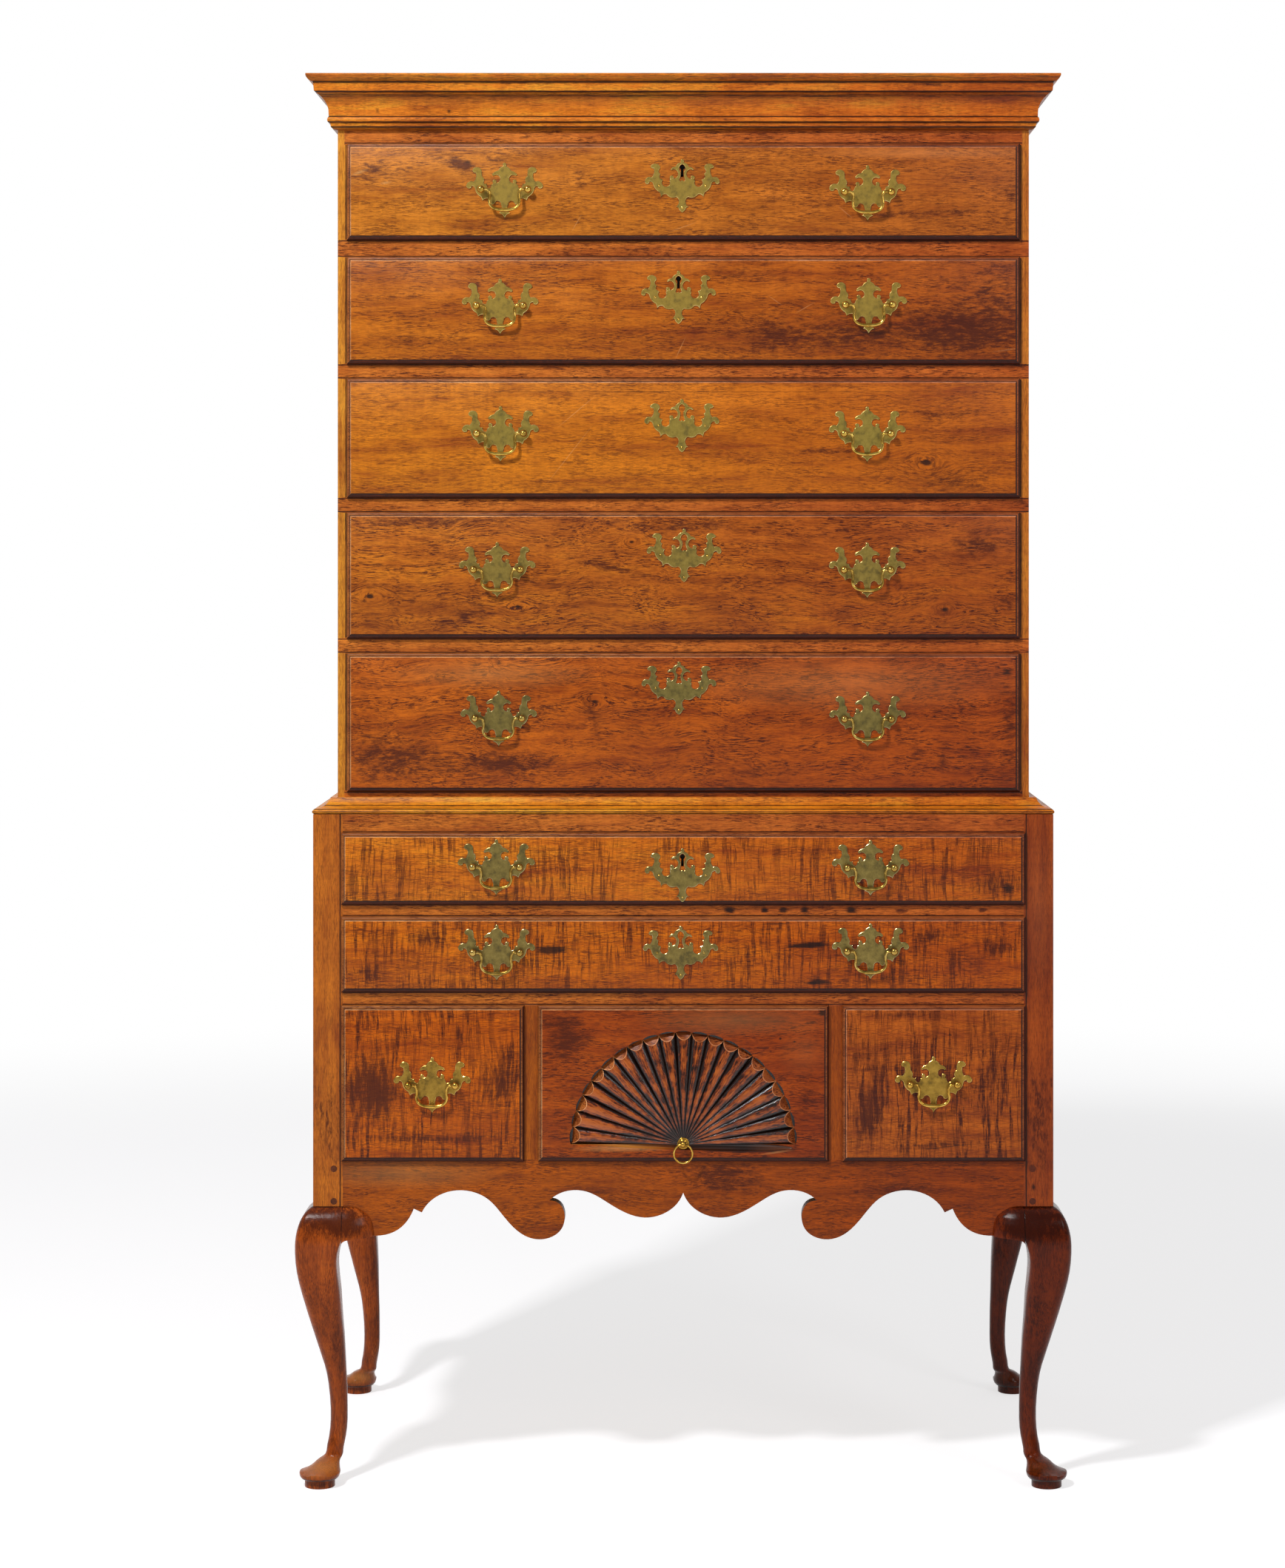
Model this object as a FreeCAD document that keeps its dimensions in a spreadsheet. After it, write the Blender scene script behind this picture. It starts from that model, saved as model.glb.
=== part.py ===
"""High chest of drawers on cabriole legs (a highboy), built piece by piece.

Frame: millimetres, +Z up, the drawer fronts face -Y, +X is the viewer's right.
The origin is on the floor, under the middle of the whole chest's bounding box.
"""
import FreeCAD, Part
import Sketcher
import math
import os
import re

DIMENSIONS = {
    # lower case: corner posts, boards and rails
    "case_depth": 510,
    "post_outer": 500,
    "post_width": 40,
    "post_top": 909,
    "knee_top": 379.3,
    "side_thickness": 18,
    "side_skirt": 352,
    "back_thickness": 18,
    "back_skirt": 400,
    "rail_depth": 22,
    "apron_thickness": 20,
    "partition_inner": 194.5,
    "partition_outer": 216.5,
    "knee_projection": 23.3,
    "knee_block_end": 418,
    "knee_block_foot": 338,
    "knee_block_reach": 22.8,
    "knee_block_trim": 8,
    "peg_radius": 4.5,
    "peg_length": 14,
    "peg_spread": 472,
    # upper case
    "upper_half": 470,
    "upper_board": 18,
    "upper_setback": 30,
    "upper_bottom": 909,
    "upper_top": 1893,
    "upper_back": 12,
    "upper_back_boards": 4,
    "rail_tail_drop": 2,
    "rail_lap": 9,
    # mouldings
    "cornice_top": 1909.6,
    # drawers
    "lip_overlap": 2,
    "upper_side_overlap": 5.5,
    "lip_projection": 8,
    "lip_round": 4.6,
    "block_depth": 14,
    "block_clearance": 1.5,
    "running_clearance": 1,
    "drawer_board": 12,
    "drawer_bottom_board": 8,
    "drawer_bottom_rise": 4,
    "drawer_side_drop": 4,
    "drawer_rear_gap": 14,
    "runner_width": 20,
    "centre_runner": 22,
    "guide_half": 4,
    "guide_height": 14,
    "top_drawer_lip_top": 1819.2,
    "top_drawer_lip_bottom": 1687.3,
    "second_drawer_lip_top": 1665.2,
    "second_drawer_lip_bottom": 1518.7,
    "third_drawer_lip_top": 1499.6,
    "third_drawer_lip_bottom": 1337,
    "fourth_drawer_lip_top": 1317.8,
    "fourth_drawer_lip_bottom": 1145.7,
    "fifth_drawer_lip_top": 1126.5,
    "fifth_drawer_lip_bottom": 937.2,
    "sixth_drawer_lip_top": 884.7,
    "sixth_drawer_lip_bottom": 787,
    "seventh_drawer_lip_top": 771.5,
    "seventh_drawer_lip_bottom": 668.7,
    "bottom_tier_lip_top": 651.6,
    "bottom_tier_lip_bottom": 440.5,
    # pulls, escutcheons and locks
    "plate_thickness": 1.5,
    "post_half_spacing": 31.75,
    "post_standoff": 8.5,
    "post_ball_radius": 4.3,
    "post_shank_radius": 2.5,
    "post_hole_radius": 2.8,
    "nut_radius": 6,
    "nut_thickness": 3,
    "shank_spare": 1.5,
    "bail_wire_radius": 1.7,
    "bail_pin_radius": 1.2,
    "bail_bore_radius": 1.35,
    "bail_drop": 27.6,
    "bail_side_gap": 0.4,
    "bail_pin_sink": 2,
    "bail_neck": 17,
    "bail_neck_rise": 0.9,
    "bail_neck_bend": 5.5,
    "bail_half_width": 20.8,
    "bail_foot_bend": 11,
    "pin_head_radius": 1.9,
    "pin_head_sink": 0.76,
    "keyhole_radius": 3.4,
    "keyhole_slot": 13,
    "keyhole_rise": 25,
    "lock_half_width": 28,
    "lock_height": 40,
    "lock_thickness": 10,
    "lock_gap": 0.2,
    "ring_radius": 12.5,
    "ring_wire_radius": 1.5,
    "ring_standoff": 9,
    "ring_ball_radius": 4,
    "ring_stem_radius": 2.4,
    "ring_bore_radius": 2.3,
    "rosette_radius": 7.7,
    "rosette_rim": 1.2,
    "rosette_neck": 3.4,
    "rosette_height": 3.3,
    # carved fan of the middle drawer
    "fan_height": 466,
    "fan_radius": 150,
    "fan_hub": 16,
    "fan_groove_width": 3.6,
    "fan_groove_tip": 0.8,
    "fan_groove_depth": 3,
    "fan_rays": 21,
}

# where the brasses sit: (across, up) for each bail's post line and each keyhole plate's pins
UPPER_PULLS = {
    "top_drawer": ((-242.6, 1755.3), (250.2, 1751.8)),
    "second_drawer": ((-248.7, 1597.7), (251.7, 1598.7)),
    "third_drawer": ((-248.2, 1424.5), (249.7, 1424)),
    "fourth_drawer": ((-252.7, 1239.8), (249.7, 1239.3)),
    "fifth_drawer": ((-250.7, 1037.9), (250.2, 1036.9)),
}
LOWER_PULLS = {
    "sixth_drawer": ((-252, 839), (252.5, 838)),
    "seventh_drawer": ((-251.5, 724), (252.5, 725.5)),
    "left_small_drawer": ((-338.5, 545),),
    "right_small_drawer": ((337.5, 546),),
}
KEYHOLE_PLATES = {
    "top_drawer": (-1.5, 1760.8),
    "second_drawer": (-6.5, 1609.3),
    "third_drawer": (-2, 1435.1),
    "fourth_drawer": (1, 1258.9),
    "fifth_drawer": (-6, 1078.7),
    "sixth_drawer": (-1, 827.5),
    "seventh_drawer": (-3.5, 723),
}
LOCKED_DRAWERS = ("top_drawer", "second_drawer", "sixth_drawer")
# where the round-headed pins go through a keyhole plate
KEYHOLE_PINS = ((-31.5, 0), (31.5, 0), (0, -29.6))

# Half outlines of the pierced brass plates, from the top finial round to the tail, as arcs:
# every second point is the one the arc passes through on its way between two corners.
PULL_PLATE = (
    (0, 37), (2.3, 34.8), (1.5, 32.3), (5.4, 30.2), (8.6, 26.2), (12.6, 24.8), (16.6, 21.6),
    (16.2, 19.6), (14.6, 19.4), (6, 14.4), (12, 9.4), (13.6, 14), (15.6, 9.6), (16.2, 8),
    (17.4, 7.2), (18.3, 4.4), (19.4, 2.2), (21.8, 2.6), (24.2, 8.6), (27.2, 8.2), (28.6, 11),
    (28.2, 15), (30.8, 18.6), (31.2, 22.4), (31.4, 26.4), (38, 31), (43.6, 27), (42.4, 24.4),
    (39.2, 23.4), (38.4, 19.4), (41.8, 11.2), (48.6, 10.8), (52, 6), (49.4, 2.2), (44.4, 5.4),
    (42, 4.6), (40, 1), (37.4, -5), (32, -9.4), (31, -11.6), (29.8, -14.4), (26, -11.8),
    (20.6, -11.9), (19.6, -14.4), (19.2, -17), (16.6, -19.8), (13.4, -18), (10, -15.2),
    (4.8, -20), (4, -26), (7.6, -31.6), (4.8, -32.4), (0, -39.5),
)
KEYHOLE_PLATE = (
    (0, 36.2), (2.3, 34), (1.6, 31.8), (6.4, 29.6), (9, 25.8), (12.6, 25), (15.6, 22),
    (14.6, 21.4), (13.2, 22.4), (5.6, 15.4), (12.2, 9.6), (14.2, 14), (15.6, 9), (16.8, 7.8),
    (16.6, 5), (20.8, -1.2), (26.2, 8.2), (27.6, 9), (29.2, 9.4), (30.9, 13), (29.6, 16.4),
    (32, 18.6), (31.6, 22), (30.2, 24.4), (30.8, 27.4), (36.8, 30.2), (43, 26.4), (41.6, 24.4),
    (38.6, 24), (38, 19.4), (41.4, 11.4), (48.8, 10.2), (50.6, 6), (48, 2.6), (44.6, 6),
    (42, 5.6), (39.6, 3), (36.4, -4), (30.6, -8.6), (29.6, -11), (29, -15.4), (26, -11.8),
    (21, -11.6), (13.6, -16), (8.4, -15), (5.4, -17.4), (4.3, -21), (5.4, -25.4), (8.2, -29),
    (5.6, -29.2), (4.6, -31.2), (2.6, -34), (0, -36),
)
KEYHOLE_SLOT = (
    (0, 29.4), (4, 25.8), (2.4, 19), (2.6, 13), (4.2, 8.2), (2.6, 6.4), (0, 7.6),
)

# Lower edge of the front apron, right half, from the knee to the middle: each stretch is a
# smooth curve between two corners.
APRON_STRETCHES = (
    ((460, 339.5), (419.5, 339.5)),
    ((419.5, 339.5), (385, 348), (364, 376)),
    ((364, 376), (353.2, 371)),
    ((353.2, 371), (331.6, 393.3), (298.5, 400.9), (265.3, 390), (238.8, 361.1), (209, 337.3),
     (188, 335), (164, 349.5), (163, 377.5), (180.5, 387.2)),
    ((180.5, 387.2), (162.4, 398.5), (132, 399.5), (98.5, 382), (50, 364), (16.4, 375.3),
     (0, 397.5)),
)

# Cornice: distance out from the case side, and drop below the cornice top.
CORNICE_STRETCHES = (
    ((0, 0), (39.4, 0)),
    ((39.4, 0), (39.6, 2.2)),
    ((39.6, 2.2), (36.6, 7.4), (30.8, 10.4)),
    ((30.8, 10.4), (30.2, 11.4)),
    ((30.2, 11.4), (29.3, 21.9)),
    ((29.3, 21.9), (28.2, 23.3)),
    ((28.2, 23.3), (22, 27.6), (14, 37.8), (11.4, 48.5)),
    ((11.4, 48.5), (11.1, 55)),
    ((11.1, 55), (12.9, 58.2), (12.6, 62)),
    ((12.6, 62), (9.4, 64)),
    ((9.4, 64), (8.6, 68.6)),
    ((8.6, 68.6), (5.2, 71.4), (0, 72.6)),
    ((0, 72.6), (0, 0)),
)
# Waist moulding: distance out from the upper case's side, and height above its foot.
WAIST_STRETCHES = (
    ((0, 0), (28.4, 0)),
    ((28.4, 0), (31.4, 3.2), (29.2, 6.6)),
    ((29.2, 6.6), (28, 7.4)),
    ((28, 7.4), (15.4, 11.6), (8.7, 21.4)),
    ((8.7, 21.4), (0, 21.4)),
    ((0, 21.4), (0, 0)),
)

# Cabriole leg: height, how far the outer faces stand outside the post's outer faces, how far
# the inner faces stand inside them, and how round the section's corners are (1 = a circle).
# Where there is a fifth number, the two corners beside the knee blocks are rounded by only
# that share.
LEG_SECTIONS = (
    (379.3, 0.5, 40.5, 0.12, 0.35),
    (372, 10, 40.5, 0.2, 0.2),
    (357, 18.2, 40.5, 0.28, 0.12),
    (340, 22.3, 40.3, 0.34, 0.1),
    (321.5, 23.3, 35, 0.42, 0.4),
    (292, 21.1, 33.5, 0.5, 0.8),
    (262.5, 15.2, 36.3, 0.58),
    (233.5, 7.9, 37.9, 0.66),
    (204, -0.2, 39.9, 0.74),
    (175, -8.3, 41.2, 0.82),
    (151, -14.6, 42, 0.88),
    (127.5, -18.1, 43, 0.92),
    (104.5, -19.9, 43.3, 0.96),
    (84, -20.2, 43.3, 0.96),
    (61, -18.2, 41.1, 0.96),
    (43.5, -13.2, 39.4, 0.96),
)
# Pad foot below the ankle, as round sections on the same two measures.
FOOT_SECTIONS = (
    (43.5, -13.2, 39.4, 0.96),
    (33.7, 2, 37.6, 0.96),
    (24, 17.2, 36.2, 0.96),
    (18.5, 19.2, 35.9, 0.96),
    (11, 15.6, 32.3, 0.96),
)
FOOT_DISC = {"radius": 20.4, "height": 11, "inset": 8.3}
PEG_HEIGHTS = (893, 458, 430, 386)

# Knee blocks. Front outline: share of the block's width from the post, and height below the
# knee's top or above the block's foot.
BLOCK_SHOULDER = ((0.25, 0), (0.62, -5.4), (0.84, -12.5), (0.97, -24), (1, -34))
BLOCK_UNDERSIDE = ((1, 1), (0.5, 0.4), (0.2, -1), (0, -6))
# Its side profile (out from the case, up from the floor), and how far it stands out in plan
# along its width.
BLOCK_PROFILE = ((0.9, 379.3), (9.8, 372), (17.9, 357), (22, 340), (22.8, 328))
BLOCK_PLAN = ((0, 0), (0, 23), (0.35, 20.8), (0.7, 14.5), (0.92, 6.5), (1, 1.2), (1, 0))

# Skirt of a side board: in from the post, and above the skirt's foot at the post.
SKIRT_CURVE = ((0, 0), (34, 4), (66, 34), (110, 47), (150, 40), (215, 22))

doc = FreeCAD.newDocument("highboy")
sheet = doc.addObject("Spreadsheet::Sheet", "Sizes")
nodes = []


def fill_sheet():
    """Write every driving dimension into the sheet, under its own alias."""
    for row, (alias, value) in enumerate(DIMENSIONS.items(), start=1):
        sheet.set("A%d" % row, alias)
        sheet.set("B%d" % row, str(value))
        sheet.setAlias("B%d" % row, alias)
    doc.recompute()


def size(alias):
    return float(sheet.get(alias))


def bound(words):
    """Turn an expression in plain aliases into one that names the sheet."""
    def name_cell(match):
        word = match.group()
        return "Sizes." + word if word in DIMENSIONS else word
    return re.sub(r"[a-z][a-z0-9_]*", name_cell, words)


fill_sheet()

# planes that many pieces share, as expressions and as numbers
FRONT = ("((lip_projection + plate_thickness + post_standoff + post_ball_radius"
         " - case_depth - knee_projection) / 2)")
REAR = FRONT + " + case_depth"
UPPER_FRONT = FRONT + " + upper_setback"
UPPER_INNER = "upper_half - upper_board"
POST_INNER = "post_outer - post_width"
front = (size("lip_projection") + size("plate_thickness") + size("post_standoff")
         + size("post_ball_radius") - size("case_depth") - size("knee_projection")) / 2
rear = front + size("case_depth")
upper_front = front + size("upper_setback")

# every drawer: the plane its lip sits on, the sides of its opening, how far the lip laps over
# them and the sheet's name for its tier
DRAWERS = {
    "left_small_drawer": (FRONT, "-(%s)" % POST_INNER, "-partition_outer", "lip_overlap",
                          "bottom_tier"),
    "fan_drawer": (FRONT, "-partition_inner", "partition_inner", "lip_overlap", "bottom_tier"),
    "right_small_drawer": (FRONT, "partition_outer", POST_INNER, "lip_overlap", "bottom_tier"),
}
for tier in ("sixth_drawer", "seventh_drawer"):
    DRAWERS[tier] = (FRONT, "-(%s)" % POST_INNER, POST_INNER, "lip_overlap", tier)
for tier in UPPER_PULLS:
    DRAWERS[tier] = (UPPER_FRONT, "-(%s)" % UPPER_INNER, UPPER_INNER, "upper_side_overlap", tier)


def board(name, low, high):
    """A box between two corners, each given as three expressions."""
    box = doc.addObject("Part::Box", name)
    for side, axis, near, far in zip(("Length", "Width", "Height"), "xyz", low, high):
        box.setExpression(side, bound("(%s) - (%s)" % (far, near)))
        box.setExpression("Placement.Base." + axis, bound(near))
    return box


def node(piece, label):
    """Give a finished sub-part the name of its file."""
    piece.Label = label
    nodes.append(piece)
    return piece


def group(label, pieces):
    compound = doc.addObject("Part::Compound", label)
    compound.Links = pieces
    return node(compound, label)


def feature(label, shape, y=None):
    """A sub-part whose shape is worked out here, placed on the plane y by an expression."""
    piece = doc.addObject("Part::Feature", label)
    piece.Shape = shape
    if y is not None:
        piece.setExpression("Placement.Base.y", bound(y))
    return node(piece, label)


# ---------------------------------------------------------------- curves and solids

def vector(x, y, z=0.0):
    return FreeCAD.Vector(x, y, z)


def arc_outline(half):
    """Closed wire on XZ from a half outline of arcs and its mirror image."""
    edges = []
    for side in (1, -1):
        for first in range(0, len(half) - 2, 2):
            start, through, end = (vector(side * x, 0, z) for x, z in half[first:first + 3])
            edges.append(Part.Arc(start, through, end).toShape())
    return Part.Wire(Part.__sortEdges__(edges))


def smooth_edge(points):
    """A straight edge through two points, or a smooth curve through more."""
    if len(points) == 2:
        return Part.makeLine(points[0], points[1])
    curve = Part.BSplineCurve()
    curve.interpolate(points)
    return curve.toShape()


def rounded_path(corners, radii):
    """Wire of straight runs joined by tangent arcs; the radii belong to the inner corners."""
    edges = []
    start = corners[0]
    for before, corner, after, radius in zip(corners, corners[1:], corners[2:], radii):
        back = (before - corner).normalize()
        onward = (after - corner).normalize()
        half_turn = back.getAngle(onward) / 2
        leg = radius / math.tan(half_turn)
        middle = (back + onward).normalize()
        centre = corner + middle * (radius / math.sin(half_turn))
        arc_start = corner + back * leg
        arc_end = corner + onward * leg
        edges.append(Part.makeLine(start, arc_start))
        edges.append(Part.Arc(arc_start, centre - middle * radius, arc_end).toShape())
        start = arc_end
    edges.append(Part.makeLine(start, corners[-1]))
    return Part.Wire(edges)


def rounded_square(height, low, high, roundness, beside=1):
    """Square wire on a level plane, from low to high on both axes, with rounded corners.

    The corners that are low on one axis and high on the other are rounded by the share beside.
    """
    radii = [share * roundness * (high - low) / 2 for share in (1, beside, 1, beside)]
    corners = ((low, low, 1, 1), (high, low, -1, 1), (high, high, -1, -1), (low, high, 1, -1))
    edges = []
    for index, (x, y, inward_x, inward_y) in enumerate(corners):
        radius = radii[index]
        bend = radius * (1 - math.sqrt(0.5))
        on_x = vector(x + inward_x * radius, y, height)
        on_y = vector(x, y + inward_y * radius, height)
        through = vector(x + inward_x * bend, y + inward_y * bend, height)
        start, end = (on_y, on_x) if index % 2 == 0 else (on_x, on_y)
        edges.append(Part.Arc(start, through, end).toShape())
        next_x, next_y, next_in_x, next_in_y = corners[(index + 1) % 4]
        next_radius = radii[(index + 1) % 4]
        if index % 2 == 0:
            following = vector(next_x + next_in_x * next_radius, next_y, height)
        else:
            following = vector(next_x, next_y + next_in_y * next_radius, height)
        edges.append(Part.makeLine(end, following))
    return Part.Wire(edges)


def mitred_moulding(profile, base, half_width, face, back):
    """Front moulding and two returns, mitred at the corners, as three solids.

    The profile is a list of stretches of (out, up) points, measured from the case's side and
    from the height base. Each run is made long by reach and cut back to its mitres.
    """
    reach = 60
    low = base - 2 * reach
    high = base + 2 * reach
    length = 2 * (half_width + reach)
    front_edges = [smooth_edge([vector(-half_width - reach, face - out, base + up)
                                for out, up in stretch]) for stretch in profile]
    front_bar = Part.Face(Part.Wire(front_edges)).extrude(vector(length, 0, 0))
    plan = [(-half_width - reach, face - reach), (half_width + reach, face - reach),
            (half_width, face), (-half_width, face)]
    front_region = prism(plan, low, high)
    pieces = [front_bar.common(front_region)]
    for side in (-1, 1):
        edges = [smooth_edge([vector(side * (half_width + out), face - reach, base + up)
                              for out, up in stretch]) for stretch in profile]
        bar = Part.Face(Part.Wire(edges)).extrude(vector(0, back - face + reach, 0))
        plan = [(side * half_width, face), (side * (half_width + reach), face - reach),
                (side * (half_width + reach), back), (side * half_width, back)]
        pieces.append(bar.common(prism(plan, low, high)))
    return Part.makeCompound([solid for piece in pieces for solid in piece.Solids])


def prism(plan, bottom, top):
    corners = [vector(x, y, bottom) for x, y in plan]
    return Part.Face(Part.makePolygon(corners + corners[:1])).extrude(vector(0, 0, top - bottom))


# ---------------------------------------------------------------- lower case

def cabriole_leg():
    """Post, knee, ankle and pad foot of the front right leg, outer faces at x = 0 and y = 0.

    The leg grows inward along -X and +Y; the other three are its mirror images.
    """
    lofts = []
    for sections in (LEG_SECTIONS, FOOT_SECTIONS):
        wires = [rounded_square(height, -outside, inside, *roundness)
                 for height, outside, inside, *roundness in sections]
        lofts.append(Part.makeLoft(wires, True, False))
    width = size("post_width")
    post = Part.makeBox(width, width, size("post_top") - size("knee_top"),
                        vector(0, 0, size("knee_top")))
    inset = FOOT_DISC["inset"]
    disc = Part.makeCylinder(FOOT_DISC["radius"], FOOT_DISC["height"], vector(inset, inset, 0))
    block_room = size("knee_top") - size("knee_block_foot") + size("knee_block_trim")
    for x, y in ((width, -width), (-width, width), (width, width)):
        beside = Part.makeBox(2 * width, 2 * width, block_room,
                              vector(x, y, size("knee_top") - block_room))
        lofts[0] = lofts[0].cut(beside)
    leg = post.fuse(lofts + [disc]).removeSplitter()
    leg.rotate(vector(0, 0, 0), vector(0, 0, 1), 90)
    return leg


def mirrored(shape, across_x, across_y):
    if across_x:
        shape = shape.mirror(vector(0, 0, 0), vector(1, 0, 0))
    if across_y:
        shape = shape.mirror(vector(0, 0, 0), vector(0, 1, 0))
    return shape


def four_corners(shape, corners=((1, -1), (-1, -1), (1, 1), (-1, 1))):
    """Copies of a front right corner piece, mirrored to the corners asked for.

    The piece is given relative to the corner of the post's outer faces.
    """
    pieces = []
    for side, end in corners:
        copy = mirrored(shape.copy(), side < 0, end > 0)
        copy.translate(vector(side * size("post_outer"), front if end < 0 else rear, 0))
        pieces.append(copy)
    return pieces


def stile_pegs():
    """Turned pegs that pin the rail and apron tenons in the front posts."""
    pegs = []
    for side in (-1, 1):
        for height in PEG_HEIGHTS:
            peg = Part.makeCylinder(size("peg_radius"), size("peg_length"),
                                    vector(side * size("peg_spread"), 0, height), vector(0, 1, 0))
            pegs.append(peg)
    return pegs


def legs():
    """Four legs, the front two bored for the pegs."""
    pegs = Part.makeCompound(stile_pegs())
    pegs.translate(vector(0, front, 0))
    corners = four_corners(cabriole_leg())
    bored = [leg.cut(pegs) for leg in corners[:2]]
    feature("cabriole_legs", Part.makeCompound(bored + corners[2:]))
    feature("stile_pegs", pegs)


def knee_blocks():
    """Shaped blocks that carry each knee's curve on to the apron and the side boards."""
    inner = -size("post_width")
    width = size("post_outer") - size("post_width") - size("knee_block_end")
    top = size("knee_top")
    foot = size("knee_block_foot")
    shoulder = [vector(inner - width * share, 0, top + up) for share, up in BLOCK_SHOULDER]
    underside = [vector(inner - width * share, 0, foot + up) for share, up in BLOCK_UNDERSIDE]
    corner = vector(inner, 0, top)
    outline = [smooth_edge([corner, shoulder[0]]), smooth_edge(shoulder),
               smooth_edge([shoulder[-1], underside[0]]), smooth_edge(underside),
               smooth_edge([underside[-1], corner])]
    reach = size("knee_block_reach")
    slab = Part.Face(Part.Wire(outline)).extrude(vector(0, -2 * reach, 0))
    face = [vector(inner, -out, height) for out, height in BLOCK_PROFILE]
    heel = vector(inner, 0, BLOCK_PROFILE[-1][1])
    profile = [smooth_edge([heel, corner]), smooth_edge([corner, face[0]]), smooth_edge(face),
               smooth_edge([face[-1], heel])]
    knee = Part.Face(Part.Wire(profile)).extrude(vector(-width, 0, 0))
    plan = [(inner - width * share, -out) for share, out in BLOCK_PLAN]
    block = slab.common(knee).common(prism(plan, foot - reach, top + reach))
    side_block = block.copy()
    side_block = side_block.mirror(vector(0, 0, 0), vector(1, 1, 0).normalize())
    front_pair = four_corners(block, ((1, -1), (-1, -1)))
    feature("knee_blocks", Part.makeCompound(front_pair + four_corners(side_block)))


def front_apron():
    edges = []
    for side in (1, -1):
        for stretch in APRON_STRETCHES:
            edges.append(smooth_edge([vector(side * x, 0, z) for x, z in stretch]))
    half = size("post_outer") - size("post_width")
    top = size("bottom_tier_lip_bottom") + size("lip_overlap")
    foot = APRON_STRETCHES[0][0][1]
    edges.append(Part.makeLine(vector(half, 0, foot), vector(half, 0, top)))
    edges.append(Part.makeLine(vector(half, 0, top), vector(-half, 0, top)))
    edges.append(Part.makeLine(vector(-half, 0, top), vector(-half, 0, foot)))
    outline = Part.Wire(Part.__sortEdges__(edges))
    slab = Part.Face(outline).extrude(vector(0, size("apron_thickness"), 0))
    feature("front_apron", slab, FRONT)


def lower_case_sides():
    """Two boards between the posts, each with a shaped skirt below."""
    half = size("case_depth") / 2 - size("post_width")
    skirt = size("side_skirt")
    curve = [(half - inward, skirt + up) for inward, up in SKIRT_CURVE]
    middle = (front + rear) / 2
    inner = size("post_outer") - size("side_thickness")
    boards = []
    for side in (-1, 1):
        x = side * inner
        right = smooth_edge([vector(x, middle + across, z) for across, z in curve])
        left = smooth_edge([vector(x, middle - across, z) for across, z in curve])
        top = size("post_top")
        rim = Part.makePolygon([vector(x, middle + half, skirt), vector(x, middle + half, top),
                                vector(x, middle - half, top), vector(x, middle - half, skirt)])
        outline = Part.Wire(Part.__sortEdges__([right, left] + rim.Edges))
        boards.append(Part.Face(outline).extrude(vector(side * size("side_thickness"), 0, 0)))
    feature("lower_case_sides", Part.makeCompound(boards))


def lower_case_back():
    node(board("lower_case_back",
               ("-(%s)" % POST_INNER, REAR + " - back_thickness", "back_skirt"),
               (POST_INNER, REAR, "post_top")), "lower_case_back")


def lower_case_rails():
    """Three rails between the posts and the two uprights between the small drawers."""
    pieces = []
    spans = (
        ("lower_top_rail", "sixth_drawer_lip_top - lip_overlap", "post_top"),
        ("lower_middle_rail", "seventh_drawer_lip_top - lip_overlap",
         "sixth_drawer_lip_bottom + lip_overlap"),
        ("lower_tier_rail", "bottom_tier_lip_top - lip_overlap",
         "seventh_drawer_lip_bottom + lip_overlap"),
    )
    for name, bottom, top in spans:
        pieces.append(board(name, ("-(%s)" % POST_INNER, FRONT, bottom),
                            (POST_INNER, FRONT + " + rail_depth", top)))
    for name, low, high in (("left_partition", "-partition_outer", "-partition_inner"),
                            ("right_partition", "partition_inner", "partition_outer")):
        pieces.append(board(name, (low, FRONT, "bottom_tier_lip_bottom + lip_overlap"),
                            (high, FRONT + " + rail_depth", "bottom_tier_lip_top - lip_overlap")))
    group("lower_case_rails", pieces)


# ---------------------------------------------------------------- upper case

def tailed_rail(name, bottom, top, lap, drop):
    """A rail whose ends are let into the case sides, thinner at the ends by the drop."""
    rail = doc.addObject("PartDesign::Body", name)
    sketch = rail.newObject("Sketcher::SketchObject", name + "_outline")
    plane = origin_plane(rail, "XZ_Plane")
    sketch.AttachmentSupport = [(plane, "")]
    sketch.MapMode = "FlatFace"
    tip = "(%s + %s)" % (UPPER_INNER, lap)
    corners = [("-%s" % tip, "%s + %s" % (bottom, drop)), ("-(%s)" % UPPER_INNER, bottom),
               (UPPER_INNER, bottom), (tip, "%s + %s" % (bottom, drop)),
               (tip, "%s - %s" % (top, drop)), (UPPER_INNER, top),
               ("-(%s)" % UPPER_INNER, top), ("-%s" % tip, "%s - %s" % (top, drop))]
    polygon(sketch, corners)
    pad = rail.newObject("PartDesign::Pad", name + "_pad")
    pad.Profile = sketch
    pad.setExpression("Length", bound("rail_depth"))
    pad.Reversed = True
    rail.setExpression("Placement.Base.y", bound(UPPER_FRONT))
    return rail


def origin_plane(body, role):
    return [item for item in body.Origin.OriginFeatures if item.Role == role][0]


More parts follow.
